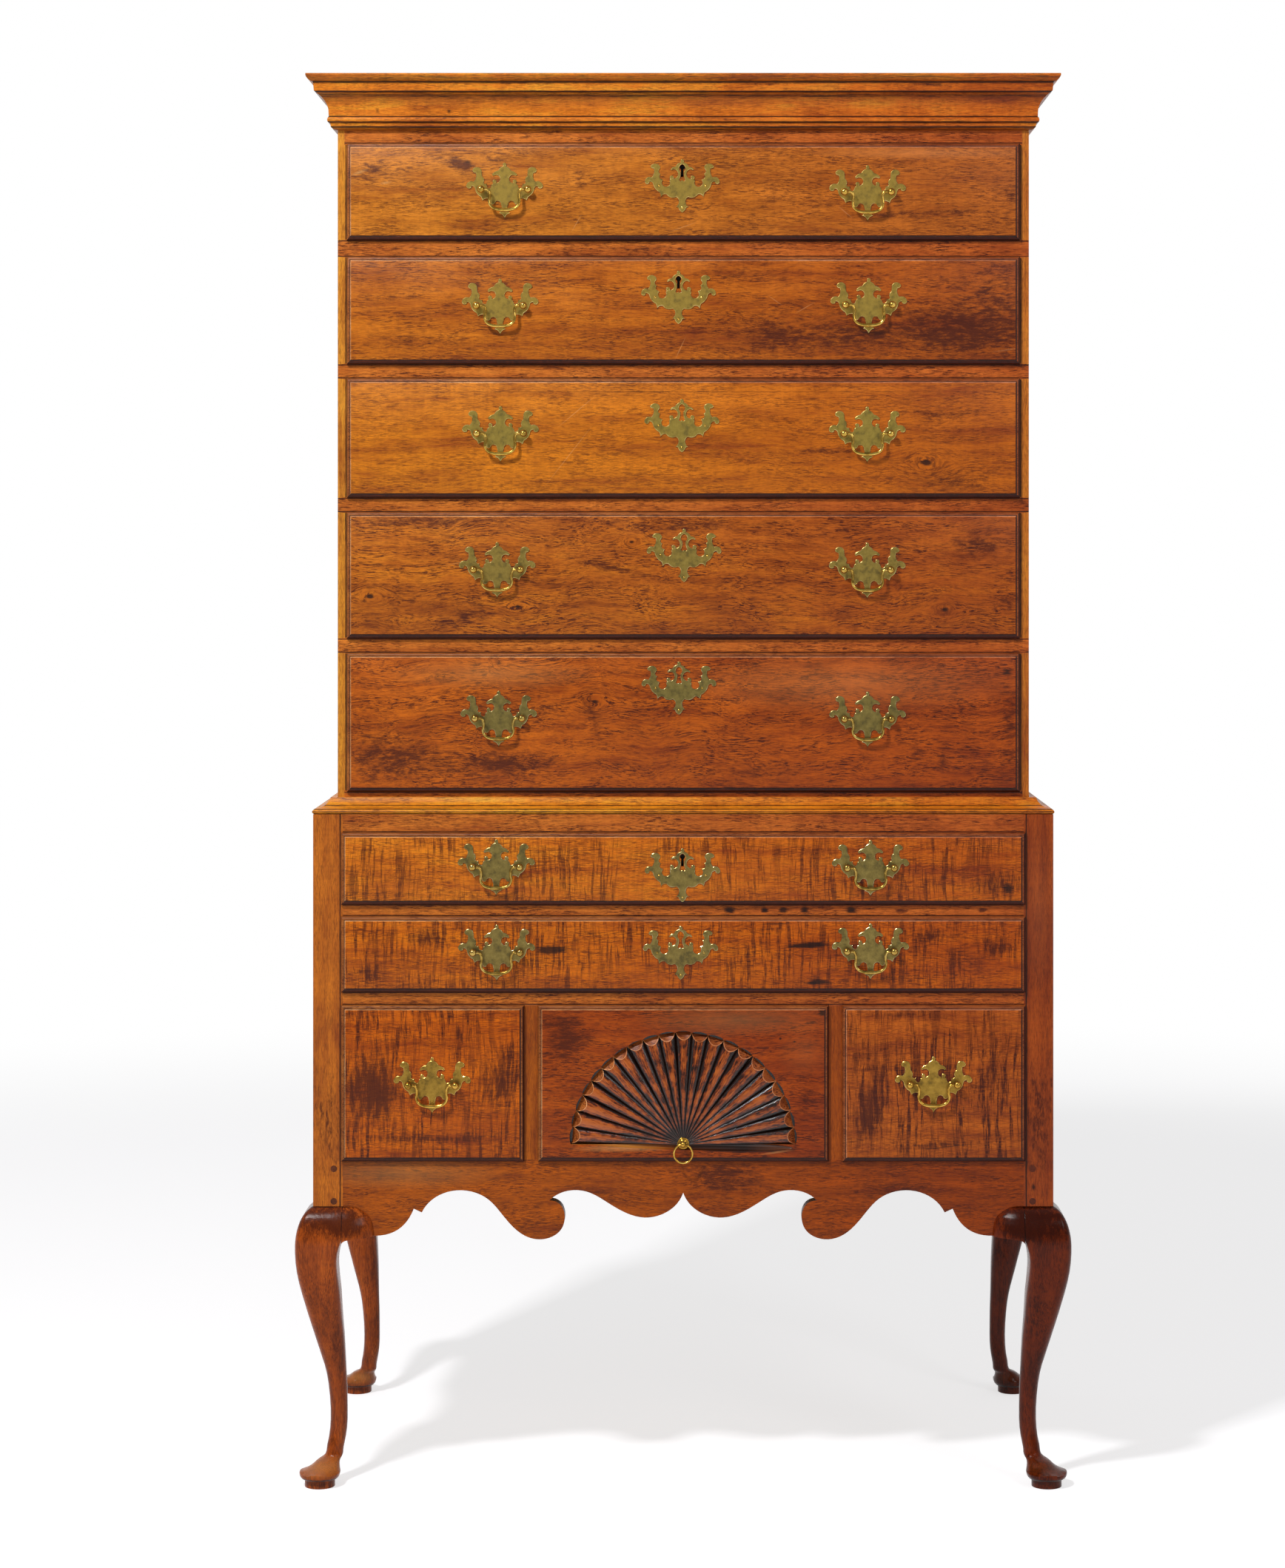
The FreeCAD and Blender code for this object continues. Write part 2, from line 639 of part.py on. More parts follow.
def polygon(sketch, corners):
    """Closed polygon whose corners are bound to pairs of expressions."""
    count = len(corners)
    guesses = []
    for x_words, y_words in corners:
        sketch_x = doc.Sizes.evalExpression(bound(x_words))
        sketch_y = doc.Sizes.evalExpression(bound(y_words))
        guesses.append(vector(float(sketch_x), float(sketch_y)))
    for index in range(count):
        sketch.addGeometry(Part.LineSegment(guesses[index], guesses[(index + 1) % count]), False)
    for index in range(count):
        sketch.addConstraint(Sketcher.Constraint("Coincident", index, 2, (index + 1) % count, 1))
    for index, (x_words, y_words) in enumerate(corners):
        for kind, words, guess in (("DistanceX", x_words, guesses[index].x),
                                   ("DistanceY", y_words, guesses[index].y)):
            number = sketch.addConstraint(Sketcher.Constraint(kind, -1, 1, index, 1, guess))
            sketch.setExpression("Constraints[%d]" % number, bound(words))


def rectangle(sketch, low, high):
    polygon(sketch, [(low[0], low[1]), (high[0], low[1]), (high[0], high[1]), (low[0], high[1])])


def upper_case():
    """Boards of the upper case, its rails let into the sides, and its back."""
    rails = [tailed_rail("upper_top_rail", "top_drawer_lip_top - lip_overlap", "upper_top",
                         "rail_lap", "0"),
             tailed_rail("upper_bottom_rail", "upper_bottom",
                         "fifth_drawer_lip_bottom + lip_overlap", "rail_lap", "0")]
    tiers = ("top_drawer", "second_drawer", "third_drawer", "fourth_drawer", "fifth_drawer")
    for above, below in zip(tiers, tiers[1:]):
        rails.append(tailed_rail("rail_under_" + above, below + "_lip_top - lip_overlap",
                                 above + "_lip_bottom + lip_overlap", "upper_board",
                                 "rail_tail_drop"))
    rail_node = group("upper_case_rails", rails)

    sides = []
    for side, low, high in (("left", "-upper_half", "-(%s)" % UPPER_INNER),
                            ("right", UPPER_INNER, "upper_half")):
        sides.append(board("upper_%s_side" % side, (low, UPPER_FRONT, "upper_bottom"),
                           (high, REAR, "upper_top")))
    side_pair = doc.addObject("Part::Compound", "upper_side_boards")
    side_pair.Links = sides
    housed_sides = doc.addObject("Part::Cut", "housed_side_boards")
    housed_sides.Base = side_pair
    housed_sides.Tool = rail_node
    behind_rail = UPPER_FRONT + " + rail_depth"
    before_back = REAR + " - upper_back"
    bottom = board("upper_bottom_board", ("-(%s)" % UPPER_INNER, behind_rail, "upper_bottom"),
                   (UPPER_INNER, before_back, "upper_bottom + upper_board"))
    top = board("upper_top_board", ("-(%s)" % UPPER_INNER, behind_rail, "upper_top - upper_board"),
                (UPPER_INNER, before_back, "upper_top"))
    group("upper_case_shell", [housed_sides, bottom, top])

    back_boards = []
    rise = "(upper_top - upper_bottom) / upper_back_boards"
    for index in range(int(size("upper_back_boards"))):
        back_boards.append(board(
            "upper_back_board_%d" % (index + 1),
            ("-(%s)" % UPPER_INNER, before_back, "upper_bottom + %s * %d" % (rise, index)),
            (UPPER_INNER, REAR, "upper_bottom + %s * %d" % (rise, index + 1))))
    group("upper_case_back", back_boards)


def mouldings():
    cornice_profile = [[(out, -drop) for out, drop in stretch] for stretch in CORNICE_STRETCHES]
    feature("cornice", mitred_moulding(cornice_profile, size("cornice_top"), size("upper_half"),
                                       upper_front, rear))
    feature("waist_moulding", mitred_moulding(WAIST_STRETCHES, size("upper_bottom"),
                                              size("upper_half"), upper_front, rear))


def runners():
    """Side runners under every drawer, and the pair behind the small drawers' partitions."""
    pieces = []
    upper_back_face = REAR + " - upper_back"
    lower_back_face = REAR + " - back_thickness"
    upper = ("top_drawer", "second_drawer", "third_drawer", "fourth_drawer", "fifth_drawer")
    spans = [(above, UPPER_INNER, UPPER_FRONT, upper_back_face, below + "_lip_top - lip_overlap")
             for above, below in zip(upper, upper[1:])]
    spans.append(("fifth_drawer", UPPER_INNER, UPPER_FRONT, upper_back_face,
                  "upper_bottom + upper_board"))
    spans.append(("sixth_drawer", POST_INNER, FRONT, lower_back_face,
                  "seventh_drawer_lip_top - lip_overlap"))
    spans.append(("seventh_drawer", POST_INNER, FRONT, lower_back_face,
                  "bottom_tier_lip_top - lip_overlap"))
    spans.append(("bottom_tier", POST_INNER, FRONT, lower_back_face,
                  "bottom_tier_lip_bottom + lip_overlap - runner_width"))
    for tier, wall, face, back, bottom in spans:
        top = tier + "_lip_bottom + lip_overlap"
        for side, low, high in (("left", "-(%s)" % wall, "-(%s) + runner_width" % wall),
                                ("right", wall + " - runner_width", wall)):
            pieces.append(board("%s_%s_runner" % (tier, side),
                                (low, face + " + rail_depth", bottom), (high, back, top)))
    top = "bottom_tier_lip_bottom + lip_overlap"
    middle = "((partition_inner + partition_outer) / 2)"
    for side, centre in (("left", "(0 - %s)" % middle), ("right", middle)):
        pieces.append(board("%s_centre_runner" % side,
                            (centre + " - centre_runner", FRONT + " + rail_depth",
                             top + " - runner_width"),
                            (centre + " + centre_runner", lower_back_face, top)))
        pieces.append(board("%s_drawer_guide" % side,
                            (centre + " - guide_half", FRONT + " + rail_depth", top),
                            (centre + " + guide_half", lower_back_face, top + " + guide_height")))
    group("drawer_runners", pieces)


# ---------------------------------------------------------------- drawers

def sketch_on_front(body, name):
    sketch = body.newObject("Sketcher::SketchObject", name)
    sketch.AttachmentSupport = [(origin_plane(body, "XZ_Plane"), "")]
    sketch.MapMode = "FlatFace"
    return sketch


def drawer_front(name):
    """Lipped front board: a moulded lip over the opening and a thicker block inside it."""
    face, low, high, lap, tier = DRAWERS[name]
    bottom = tier + "_lip_bottom"
    top = tier + "_lip_top"
    body = doc.addObject("PartDesign::Body", name + "_front")
    body.setExpression("Placement.Base.y", bound(face))
    lip_sketch = sketch_on_front(body, name + "_lip_outline")
    rectangle(lip_sketch, ("%s - %s" % (low, lap), bottom), ("%s + %s" % (high, lap), top))
    lip = body.newObject("PartDesign::Pad", name + "_lip")
    lip.Profile = lip_sketch
    lip.setExpression("Length", bound("lip_projection"))
    doc.recompute()
    thumb = body.newObject("PartDesign::Fillet", name + "_thumb_mould")
    face_y = -size("lip_projection")
    rim = ["Edge%d" % (number + 1) for number, edge in enumerate(lip.Shape.Edges)
           if all(abs(vertex.Point.y - face_y) < 1e-6 for vertex in edge.Vertexes)]
    thumb.Base = (lip, rim)
    thumb.setExpression("Radius", bound("lip_round"))
    block_sketch = sketch_on_front(body, name + "_block_outline")
    rectangle(block_sketch,
              (low + " + block_clearance", bottom + " + lip_overlap + running_clearance"),
              (high + " - block_clearance", top + " - lip_overlap - running_clearance"))
    block = body.newObject("PartDesign::Pad", name + "_block")
    block.Profile = block_sketch
    block.setExpression("Length", bound("block_depth"))
    block.Reversed = True
    bore_post_holes(body, name)
    if name in LOCKED_DRAWERS:
        cut_lock_mortise(body, name)
    if name == "fan_drawer":
        carve_fan(body, name)
    return node(body, name + "_front")


def pulls_of(name):
    return UPPER_PULLS.get(name) or LOWER_PULLS.get(name) or ()


def through_pocket(body, sketch, name):
    pocket = body.newObject("PartDesign::Pocket", name)
    pocket.Profile = sketch
    pocket.Type = "ThroughAll"
    pocket.Midplane = True
    return pocket


def bore_post_holes(body, name):
    """Clearance holes for the shanks of the pulls' posts, or of the ring pull."""
    if name == "fan_drawer":
        centres = [(0, size("fan_height"))]
    else:
        spread = size("post_half_spacing")
        centres = [(x + side * spread, z) for x, z in pulls_of(name) for side in (-1, 1)]
    sketch = sketch_on_front(body, name + "_post_holes")
    for index, (x, z) in enumerate(centres):
        radius = size("post_hole_radius")
        sketch.addGeometry(Part.Circle(vector(x, z), vector(0, 0, 1), radius), False)
        sketch.addConstraint(Sketcher.Constraint("DistanceX", -1, 1, index, 3, x))
        sketch.addConstraint(Sketcher.Constraint("DistanceY", -1, 1, index, 3, z))
        number = sketch.addConstraint(Sketcher.Constraint("Radius", index, radius))
        sketch.setExpression("Constraints[%d]" % number, bound("post_hole_radius"))
    through_pocket(body, sketch, name + "_post_bores")


def cut_lock_mortise(body, name):
    """Keyhole through the board and the mortise that the lock lies in behind it."""
    x, z = KEYHOLE_PLATES[name]
    z += size("keyhole_rise")
    circle = sketch_on_front(body, name + "_keyhole_round")
    circle.addGeometry(Part.Circle(vector(x, z), vector(0, 0, 1), size("keyhole_radius")), False)
    number = circle.addConstraint(Sketcher.Constraint("Radius", 0, size("keyhole_radius")))
    circle.setExpression("Constraints[%d]" % number, bound("keyhole_radius"))
    through_pocket(body, circle, name + "_keyhole_bore")
    slot = sketch_on_front(body, name + "_keyhole_slot")
    rectangle(slot, ("%s - keyhole_radius / 2" % x, "%s - keyhole_slot" % z),
              ("%s + keyhole_radius / 2" % x, "%s" % z))
    through_pocket(body, slot, name + "_keyhole_ward")
    mortise = sketch_on_front(body, name + "_mortise")
    mortise.setExpression("AttachmentOffset.Base.z", bound("-block_depth"))
    rectangle(mortise, ("%s - lock_half_width" % x,
                        name + "_lip_top - lip_overlap - running_clearance - lock_height"),
              ("%s + lock_half_width" % x, name + "_lip_top"))
    pocket = body.newObject("PartDesign::Pocket", name + "_mortise_cut")
    pocket.Profile = mortise
    pocket.setExpression("Length", bound("lock_thickness"))
    pocket.Reversed = True


def carve_fan(body, name):
    """Grooves between the rays of the carved fan, spread over a half circle."""
    doc.recompute()
    sketch = sketch_on_front(body, name + "_groove")
    sketch.setExpression("AttachmentOffset.Base.y", bound("fan_height"))
    sketch.setExpression("AttachmentOffset.Base.z", bound("lip_projection"))
    polygon(sketch, [("fan_hub", "0 - fan_groove_tip / 2"),
                     ("fan_radius", "0 - fan_groove_width / 2"),
                     ("fan_radius", "fan_groove_width / 2"), ("fan_hub", "fan_groove_tip / 2")])
    groove = body.newObject("PartDesign::Pocket", name + "_groove_cut")
    groove.Profile = sketch
    groove.setExpression("Length", bound("fan_groove_depth"))
    doc.recompute()
    fan = body.newObject("PartDesign::PolarPattern", name + "_fan")
    fan.Originals = [groove]
    fan.Axis = (sketch, ["N_Axis"])
    fan.Angle = 180
    fan.setExpression("Occurrences", bound("fan_rays + 1"))
    body.Tip = fan


def drawer_box(name):
    """Two sides, a back and a bottom of pine behind the front board."""
    face, low, high, _, tier = DRAWERS[name]
    front_face = face + " + block_depth"
    back_face = REAR + " - back_thickness - drawer_rear_gap"
    left = low + " + block_clearance"
    right = high + " - block_clearance"
    foot = tier + "_lip_bottom + lip_overlap + running_clearance"
    top = tier + "_lip_top - lip_overlap - running_clearance - drawer_side_drop"
    floor_top = foot + " + drawer_bottom_rise + drawer_bottom_board"
    inner_left = left + " + drawer_board"
    inner_right = right + " - drawer_board"
    pieces = [
        board(name + "_left_side", (left, front_face, foot), (inner_left, back_face, top)),
        board(name + "_right_side", (inner_right, front_face, foot), (right, back_face, top)),
        board(name + "_bottom", (inner_left, front_face, foot + " + drawer_bottom_rise"),
              (inner_right, back_face, floor_top)),
        board(name + "_back", (inner_left, back_face + " - drawer_board", floor_top),
              (inner_right, back_face, top + " - drawer_side_drop")),
    ]
    return group(name + "_box", pieces)


# ---------------------------------------------------------------- brasses

def plate_solid(half_outline, holes, hole_radius, slot=None):
    """Pierced plate standing on y = 0 and facing -Y."""
    thickness = size("plate_thickness")
    plate = Part.Face(arc_outline(half_outline)).extrude(vector(0, -thickness, 0))
    for x, z in holes:
        plate = plate.cut(Part.makeCylinder(hole_radius, 3 * thickness,
                                            vector(x, thickness, z), vector(0, -1, 0)))
    if slot:
        opening = Part.Face(arc_outline(slot)).extrude(vector(0, -3 * thickness, 0))
        opening.translate(vector(0, thickness, 0))
        plate = plate.cut(opening)
    return plate


def post(x, z):
    """Post with a round head drilled for the bail, its shank and the nut inside the drawer."""
    pivot_y = -size("plate_thickness") - size("post_standoff")
    inside = size("lip_projection") + size("block_depth")
    nut = Part.makeCylinder(size("nut_radius"), size("nut_thickness"), vector(x, inside, z),
                            vector(0, 1, 0))
    head = Part.makeSphere(size("post_ball_radius"), vector(x, pivot_y, z))
    shank_end = inside + size("nut_thickness") + size("shank_spare")
    shank = Part.makeCylinder(size("post_shank_radius"), shank_end - pivot_y,
                              vector(x, pivot_y, z), vector(0, 1, 0))
    nut = nut.cut(shank)
    reach = 2 * size("post_ball_radius")
    bore = Part.makeCylinder(size("bail_bore_radius"), 2 * reach, vector(x - reach, pivot_y, z),
                             vector(1, 0, 0))
    return [head.fuse(shank).cut(bore), nut]


def pin(x, z):
    """Small round-headed brass pin driven through a plate into the front board."""
    radius = size("pin_head_radius")
    face = -size("plate_thickness")
    head = Part.makeSphere(radius, vector(x, face + size("pin_head_sink"), z))
    above = Part.makeBox(4 * radius, 2 * radius, 4 * radius,
                         vector(x - 2 * radius, face - 2 * radius, z - 2 * radius))
    return head.common(above)


def lock_case(x, tier):
    """Iron lock let into the back of the front board, flush with it."""
    gap = size("lock_gap")
    half = size("lock_half_width") - gap
    thickness = size("lock_thickness") - gap
    height = size("lock_height") - 2 * gap
    back = size("lip_projection") + size("block_depth")
    top = size(tier + "_lip_top") - size("lip_overlap") - size("running_clearance")
    return Part.makeBox(2 * half, thickness, height,
                        vector(x - half, back - thickness, top - gap - height))


def ring_holder():
    """Turned rosette with a ball on its stem, which is drilled across for the ring."""
    z = size("fan_height")
    pivot_y = -size("ring_standoff")
    rim, height = size("rosette_rim"), size("rosette_height")
    inside = size("lip_projection") + size("block_depth")
    flange = Part.makeCylinder(size("rosette_radius"), rim, vector(0, 0, z), vector(0, -1, 0))
    dome = Part.makeCone(size("rosette_radius"), size("rosette_neck"), height - rim,
                         vector(0, -rim, z), vector(0, -1, 0))
    stem = Part.makeCylinder(size("ring_stem_radius"), -pivot_y, vector(0, pivot_y, z),
                             vector(0, 1, 0))
    ball = Part.makeSphere(size("ring_ball_radius"), vector(0, pivot_y, z))
    shank = Part.makeCylinder(size("post_shank_radius"), inside + size("nut_thickness"),
                              vector(0, 0, z), vector(0, 1, 0))
    reach = 2 * size("ring_ball_radius")
    bore = Part.makeCylinder(size("ring_bore_radius"), 2 * reach, vector(-reach, pivot_y, z),
                             vector(1, 0, 0))
    nut = Part.makeCylinder(size("nut_radius"), size("nut_thickness"), vector(0, inside, z),
                            vector(0, 1, 0)).cut(shank)
    turned = flange.fuse([dome, stem, ball, shank]).cut(bore)
    return [turned, nut]


def drawer_brasses(name):
    """All the metalwork that is fixed to one drawer front."""
    face = DRAWERS[name][0]
    spread = size("post_half_spacing")
    hole = size("post_hole_radius")
    solids = []
    for x, z in pulls_of(name):
        plate = plate_solid(PULL_PLATE, ((-spread, 0), (spread, 0)), hole)
        plate.translate(vector(x, 0, z))
        solids.append(plate)
        for side in (-1, 1):
            solids += post(x + side * spread, z)
    if name in KEYHOLE_PLATES:
        x, z = KEYHOLE_PLATES[name]
        plate = plate_solid(KEYHOLE_PLATE, (), hole, KEYHOLE_SLOT)
        plate.translate(vector(x, 0, z))
        solids.append(plate)
        solids += [pin(x + across, z + up) for across, up in KEYHOLE_PINS]
    if name in LOCKED_DRAWERS:
        solids.append(lock_case(KEYHOLE_PLATES[name][0], name))
    if name == "fan_drawer":
        solids += ring_holder()
    return feature(name + "_brasses", Part.makeCompound(solids), face + " - lip_projection")


def bail_solid():
    """Swan-necked bail hanging from its two pins, which turn in the posts along the X axis."""
    ball = size("post_ball_radius")
    drop = size("bail_drop")
    shoulder = size("post_half_spacing") - ball - size("bail_side_gap")
    neck, rise, foot = size("bail_neck"), size("bail_neck_rise"), size("bail_half_width")
    corners = [vector(shoulder, 0, 0), vector(neck, 0, rise), vector(foot, 0, -drop),
               vector(-foot, 0, -drop), vector(-neck, 0, rise), vector(-shoulder, 0, 0)]
    bends = (size("bail_neck_bend"), size("bail_foot_bend"))
    path = rounded_path(corners, bends + bends[::-1])
    section = Part.Wire(Part.makeCircle(size("bail_wire_radius"), corners[0],
                                        corners[1] - corners[0]))
    wire = path.makePipeShell([section], True, False)
    pin_start = shoulder - size("bail_pin_sink") / 2
    pins = [Part.makeCylinder(size("bail_pin_radius"), ball + size("bail_pin_sink"),
                              vector(side * pin_start, 0, 0), vector(side, 0, 0))
            for side in (-1, 1)]
    return wire.fuse(pins)


def bails():
    """Every bail in its own node, on its own pair of posts."""
    shape = bail_solid()
    for name in DRAWERS:
        pulls = pulls_of(name)
        face = DRAWERS[name][0]
        for side, (x, z) in zip(("left", "right"), pulls):
            label = "%s_%s_bail" % (name, side) if len(pulls) == 2 else name + "_bail"
            bail = doc.addObject("Part::Feature", label)
            bail.Shape = shape
            bail.setExpression("Placement.Base.y", bound(
                face + " - lip_projection - plate_thickness - post_standoff"))
            bail.Placement.Base = vector(x, 0, z)
            node(bail, label)


def pull_ring():
    radius = size("ring_radius")
    ring = Part.makeTorus(radius, size("ring_wire_radius"), vector(0, 0, -radius),
                          vector(0, 1, 0))
    piece = feature("fan_drawer_ring", ring, FRONT + " - lip_projection - ring_standoff")
    piece.setExpression("Placement.Base.z", bound("fan_height"))


# ---------------------------------------------------------------- assembly and export

def build():
    legs()
    knee_blocks()
    front_apron()
    lower_case_sides()
    lower_case_back()
    lower_case_rails()
    upper_case()
    mouldings()
    runners()
    for name in DRAWERS:
        drawer_front(name)
        drawer_box(name)
        drawer_brasses(name)
    bails()
    pull_ring()
    doc.recompute()


def check():
    for item in doc.Objects:
        failed = [state for state in item.State if state in ("Invalid", "Error")]
        if failed:
            raise RuntimeError("%s is %s" % (item.Label, failed))
    for piece in nodes:
        if piece.Shape.isNull() or not piece.Shape.isValid() or not piece.Shape.Solids:
            raise RuntimeError("%s has no valid solid" % piece.Label)


def export():
    os.makedirs("parts", exist_ok=True)
    for piece in nodes:
        piece.Shape.exportStep("parts/%s.step" % piece.Label)


build()
check()
export()
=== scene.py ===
# %% [markdown]
# # The looks of a high chest of drawers
#
# A highboy is two cases of drawers, one on the other, on four cabriole legs. Cabinetmakers
# built them in maple, with pine where it doesn't show, and finished the fronts with a carved
# fan and cast brass pulls. The joinery comes in as a fixed frame at its real size, so that
# only the surfaces and the fine shaping are left to do here.

# %% Load the chest's fixed frame
import math
import random
import bmesh
import bpy
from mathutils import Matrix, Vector


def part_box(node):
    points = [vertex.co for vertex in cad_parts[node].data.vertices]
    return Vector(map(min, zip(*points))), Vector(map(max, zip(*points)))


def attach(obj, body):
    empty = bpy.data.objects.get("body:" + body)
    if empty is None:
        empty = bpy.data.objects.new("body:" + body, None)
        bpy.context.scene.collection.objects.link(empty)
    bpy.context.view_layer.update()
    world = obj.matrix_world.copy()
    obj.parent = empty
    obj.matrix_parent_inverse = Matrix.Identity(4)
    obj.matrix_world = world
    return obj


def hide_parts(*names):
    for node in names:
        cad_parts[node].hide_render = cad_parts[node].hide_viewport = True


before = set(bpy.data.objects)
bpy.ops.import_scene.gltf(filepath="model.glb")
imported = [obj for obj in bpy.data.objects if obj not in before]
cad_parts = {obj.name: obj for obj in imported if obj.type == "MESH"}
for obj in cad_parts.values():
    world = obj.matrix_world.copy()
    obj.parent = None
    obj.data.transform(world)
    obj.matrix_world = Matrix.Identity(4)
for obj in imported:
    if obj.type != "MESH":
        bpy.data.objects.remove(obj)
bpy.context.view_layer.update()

# %% [markdown]
# ## Working habits
#
# Lengths in a cabinet shop are in millimetres and a scene's are in metres, so one value turns
# the first into the second. An operator acts on everything that is selected, so each piece
# starts from a clean bench: nothing selected and no mesh open for editing. Faces are then
# picked by where they lie or which way they look, the way a hand would pick them.

# %% Bench helpers
MM = 0.001


def mm(*numbers):
    return Vector(numbers) * MM


def clear_bench():
    if bpy.context.object and bpy.context.object.mode != "OBJECT":
        bpy.ops.object.mode_set(mode="OBJECT")
    bpy.ops.object.select_all(action="DESELECT")


def settle(name):
    """Names the active object and puts its place, turn and size into its mesh."""
    piece = bpy.context.object
    piece.name = piece.data.name = name
    bpy.ops.object.transform_apply(location=True, rotation=True, scale=True)
    return piece


def rough_block(name, low, high):
    """A box between two corners, the timber that a piece is shaped from."""
    clear_bench()
    bpy.ops.mesh.primitive_cube_add(size=1, location=(low + high) / 2)
    bpy.context.object.scale = high - low
    return settle(name)


def pick(piece, wanted, kind="FACE"):
    """In edit mode, selects the faces or edges that wanted() holds for, and nothing else."""
    bpy.ops.object.mode_set(mode="EDIT")
    bpy.ops.mesh.select_mode(type=kind)
    bpy.ops.mesh.select_all(action="DESELECT")
    mesh = bmesh.from_edit_mesh(piece.data)
    found = [item for item in (mesh.faces if kind == "FACE" else mesh.edges) if wanted(item)]
    for item in found:
        item.select_set(True)
    mesh.select_flush_mode()
    bmesh.update_edit_mesh(piece.data)
    return len(found)


def cut_away(piece, cutter):
    """Cuts one solid out of another and throws the cutter away."""
    clear_bench()
    piece.select_set(True)
    bpy.context.view_layer.objects.active = piece
    saw = piece.modifiers.new("cut", "BOOLEAN")
    saw.operation = "DIFFERENCE"
    saw.solver = "EXACT"
    saw.object = cutter
    bpy.ops.object.modifier_apply(modifier=saw.name)
    bpy.data.objects.remove(cutter)


def soft_edges(piece, degrees=35):
    clear_bench()
    piece.select_set(True)
    bpy.context.view_layer.objects.active = piece
    bpy.ops.object.shade_smooth_by_angle(angle=math.radians(degrees))


def finish(piece, body, materials, choose=None):
    """Gives a piece its materials and its place on a body of the frame.

    choose(face) gives the number of the material for each face; without it all get the first.
    """
    numbers = [choose(face) if choose else 0 for face in piece.data.polygons]
    piece.data.materials.clear()
    for material in materials:
        piece.data.materials.append(material)
    piece.data.polygons.foreach_set("material_index", numbers)
    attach(piece, body)
    return piece


print("bench ready, 1 mm is", MM, "units")

# %% [markdown]
# ## Where the viewer stands
#
# A tall chest looks upright only when the camera is level, so the camera isn't tipped down:
# its shift moves the frame instead, as a view camera's sliding back does. It stands four and
# a half metres off at about chest height, which keeps the perspective gentle.

# %% Camera
PICTURE_WIDE, PICTURE_HIGH = 1736, 2119
CAMERA_HEIGHT = 1270 * MM
CAMERA_ASIDE = 20 * MM
CAMERA_DISTANCE = 4400 * MM
PIXELS_PER_METRE = 1000
CHEST_MIDDLE_COLUMN = 923
FLOOR_ROW = 2009.5

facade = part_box("front_apron")[0].y
long_side_in_focus = CAMERA_DISTANCE * PIXELS_PER_METRE / PICTURE_HIGH
clear_bench()
bpy.ops.object.camera_add(location=(CAMERA_ASIDE, facade - CAMERA_DISTANCE, CAMERA_HEIGHT),
                          rotation=(math.radians(90), 0, 0))
camera = bpy.context.object
camera.data.sensor_width = 36
camera.data.lens = 36 * long_side_in_focus
axis_column = CHEST_MIDDLE_COLUMN + CAMERA_ASIDE * PIXELS_PER_METRE
axis_row = FLOOR_ROW - CAMERA_HEIGHT * PIXELS_PER_METRE
camera.data.shift_x = (PICTURE_WIDE / 2 - axis_column) / PICTURE_HIGH
camera.data.shift_y = (axis_row - PICTURE_HIGH / 2) / PICTURE_HIGH
camera.data.clip_end = 100
bpy.context.scene.camera = camera
bpy.context.scene.view_settings.view_transform = "Standard"
print("lens %.1f mm, shift %.3f %.3f" % (camera.data.lens, camera.data.shift_x,
                                        camera.data.shift_y))

# %% [markdown]
# ## Building a finish out of nodes
#
# A procedural material is a small network of nodes that works a colour out from a point's
# place on the object. One helper adds a node, sets it and links it, and hands back the output
# that the next node needs. Colours are written as they look on a screen, in hex, and turned
# to the linear values that light is reckoned in.

# %% Node helper and colours
def colour(code):
    """Linear colour of an sRGB hex code."""
    channels = [int(code[place:place + 2], 16) / 255 for place in (1, 3, 5)]
    return [value / 12.92 if value <= 0.04045 else ((value + 0.055) / 1.055) ** 2.4
            for value in channels] + [1]


def add(material, kind, links=None, out=None, stops=None, **settings):
    """Adds a node, sets it, links or fills its inputs, and returns one of its outputs."""
    tree = material.node_tree
    node = tree.nodes.new("ShaderNode" + kind)
    for name, value in settings.items():
        setattr(node, name, value)
    for key, value in (links or {}).items():
        sockets = [node.inputs[key]] if isinstance(key, int) else [
            socket for socket in node.inputs if socket.name == key and socket.enabled]
        if isinstance(value, bpy.types.NodeSocket):
            tree.links.new(value, sockets[0])
        else:
            sockets[0].default_value = value
    if stops:
        ramp = node.color_ramp.elements
        while len(ramp) < len(stops):
            ramp.new(0.5)
        for element, (position, code) in zip(ramp, stops):
            element.position = position
            element.color = colour(code)
    if out:
        return node.outputs[out]
    return next((socket for socket in node.outputs if socket.enabled), None)


def new_finish(name):
    material = bpy.data.materials.new(name)
    material.use_nodes = True
    material.node_tree.nodes.clear()
    return material


def surface(material, links):
    """Ends a finish in one principled shader."""
    shader = add(material, "BsdfPrincipled", links)
    add(material, "OutputMaterial", {"Surface": shader})
    return material


print("brown", [round(value, 3) for value in colour("#A85A20")])

# %% [markdown]
# ## Floor, lamps and white surroundings
#
# The chest stands on a plain pale floor that runs off into white. The main lamp is high on the
# left, small enough to give the pulls a shadow with an edge, and a broad weak lamp fills in
# from the right. The white that the camera sees is separate from the light on the object: the
# Light Path node tells a camera or mirror ray from the rest, so the surroundings can be pure
# white while they light the wood only gently.

# %% Floor and lamps
FLOOR_FADE_START, FLOOR_FADE_END = 2.4, 4.2


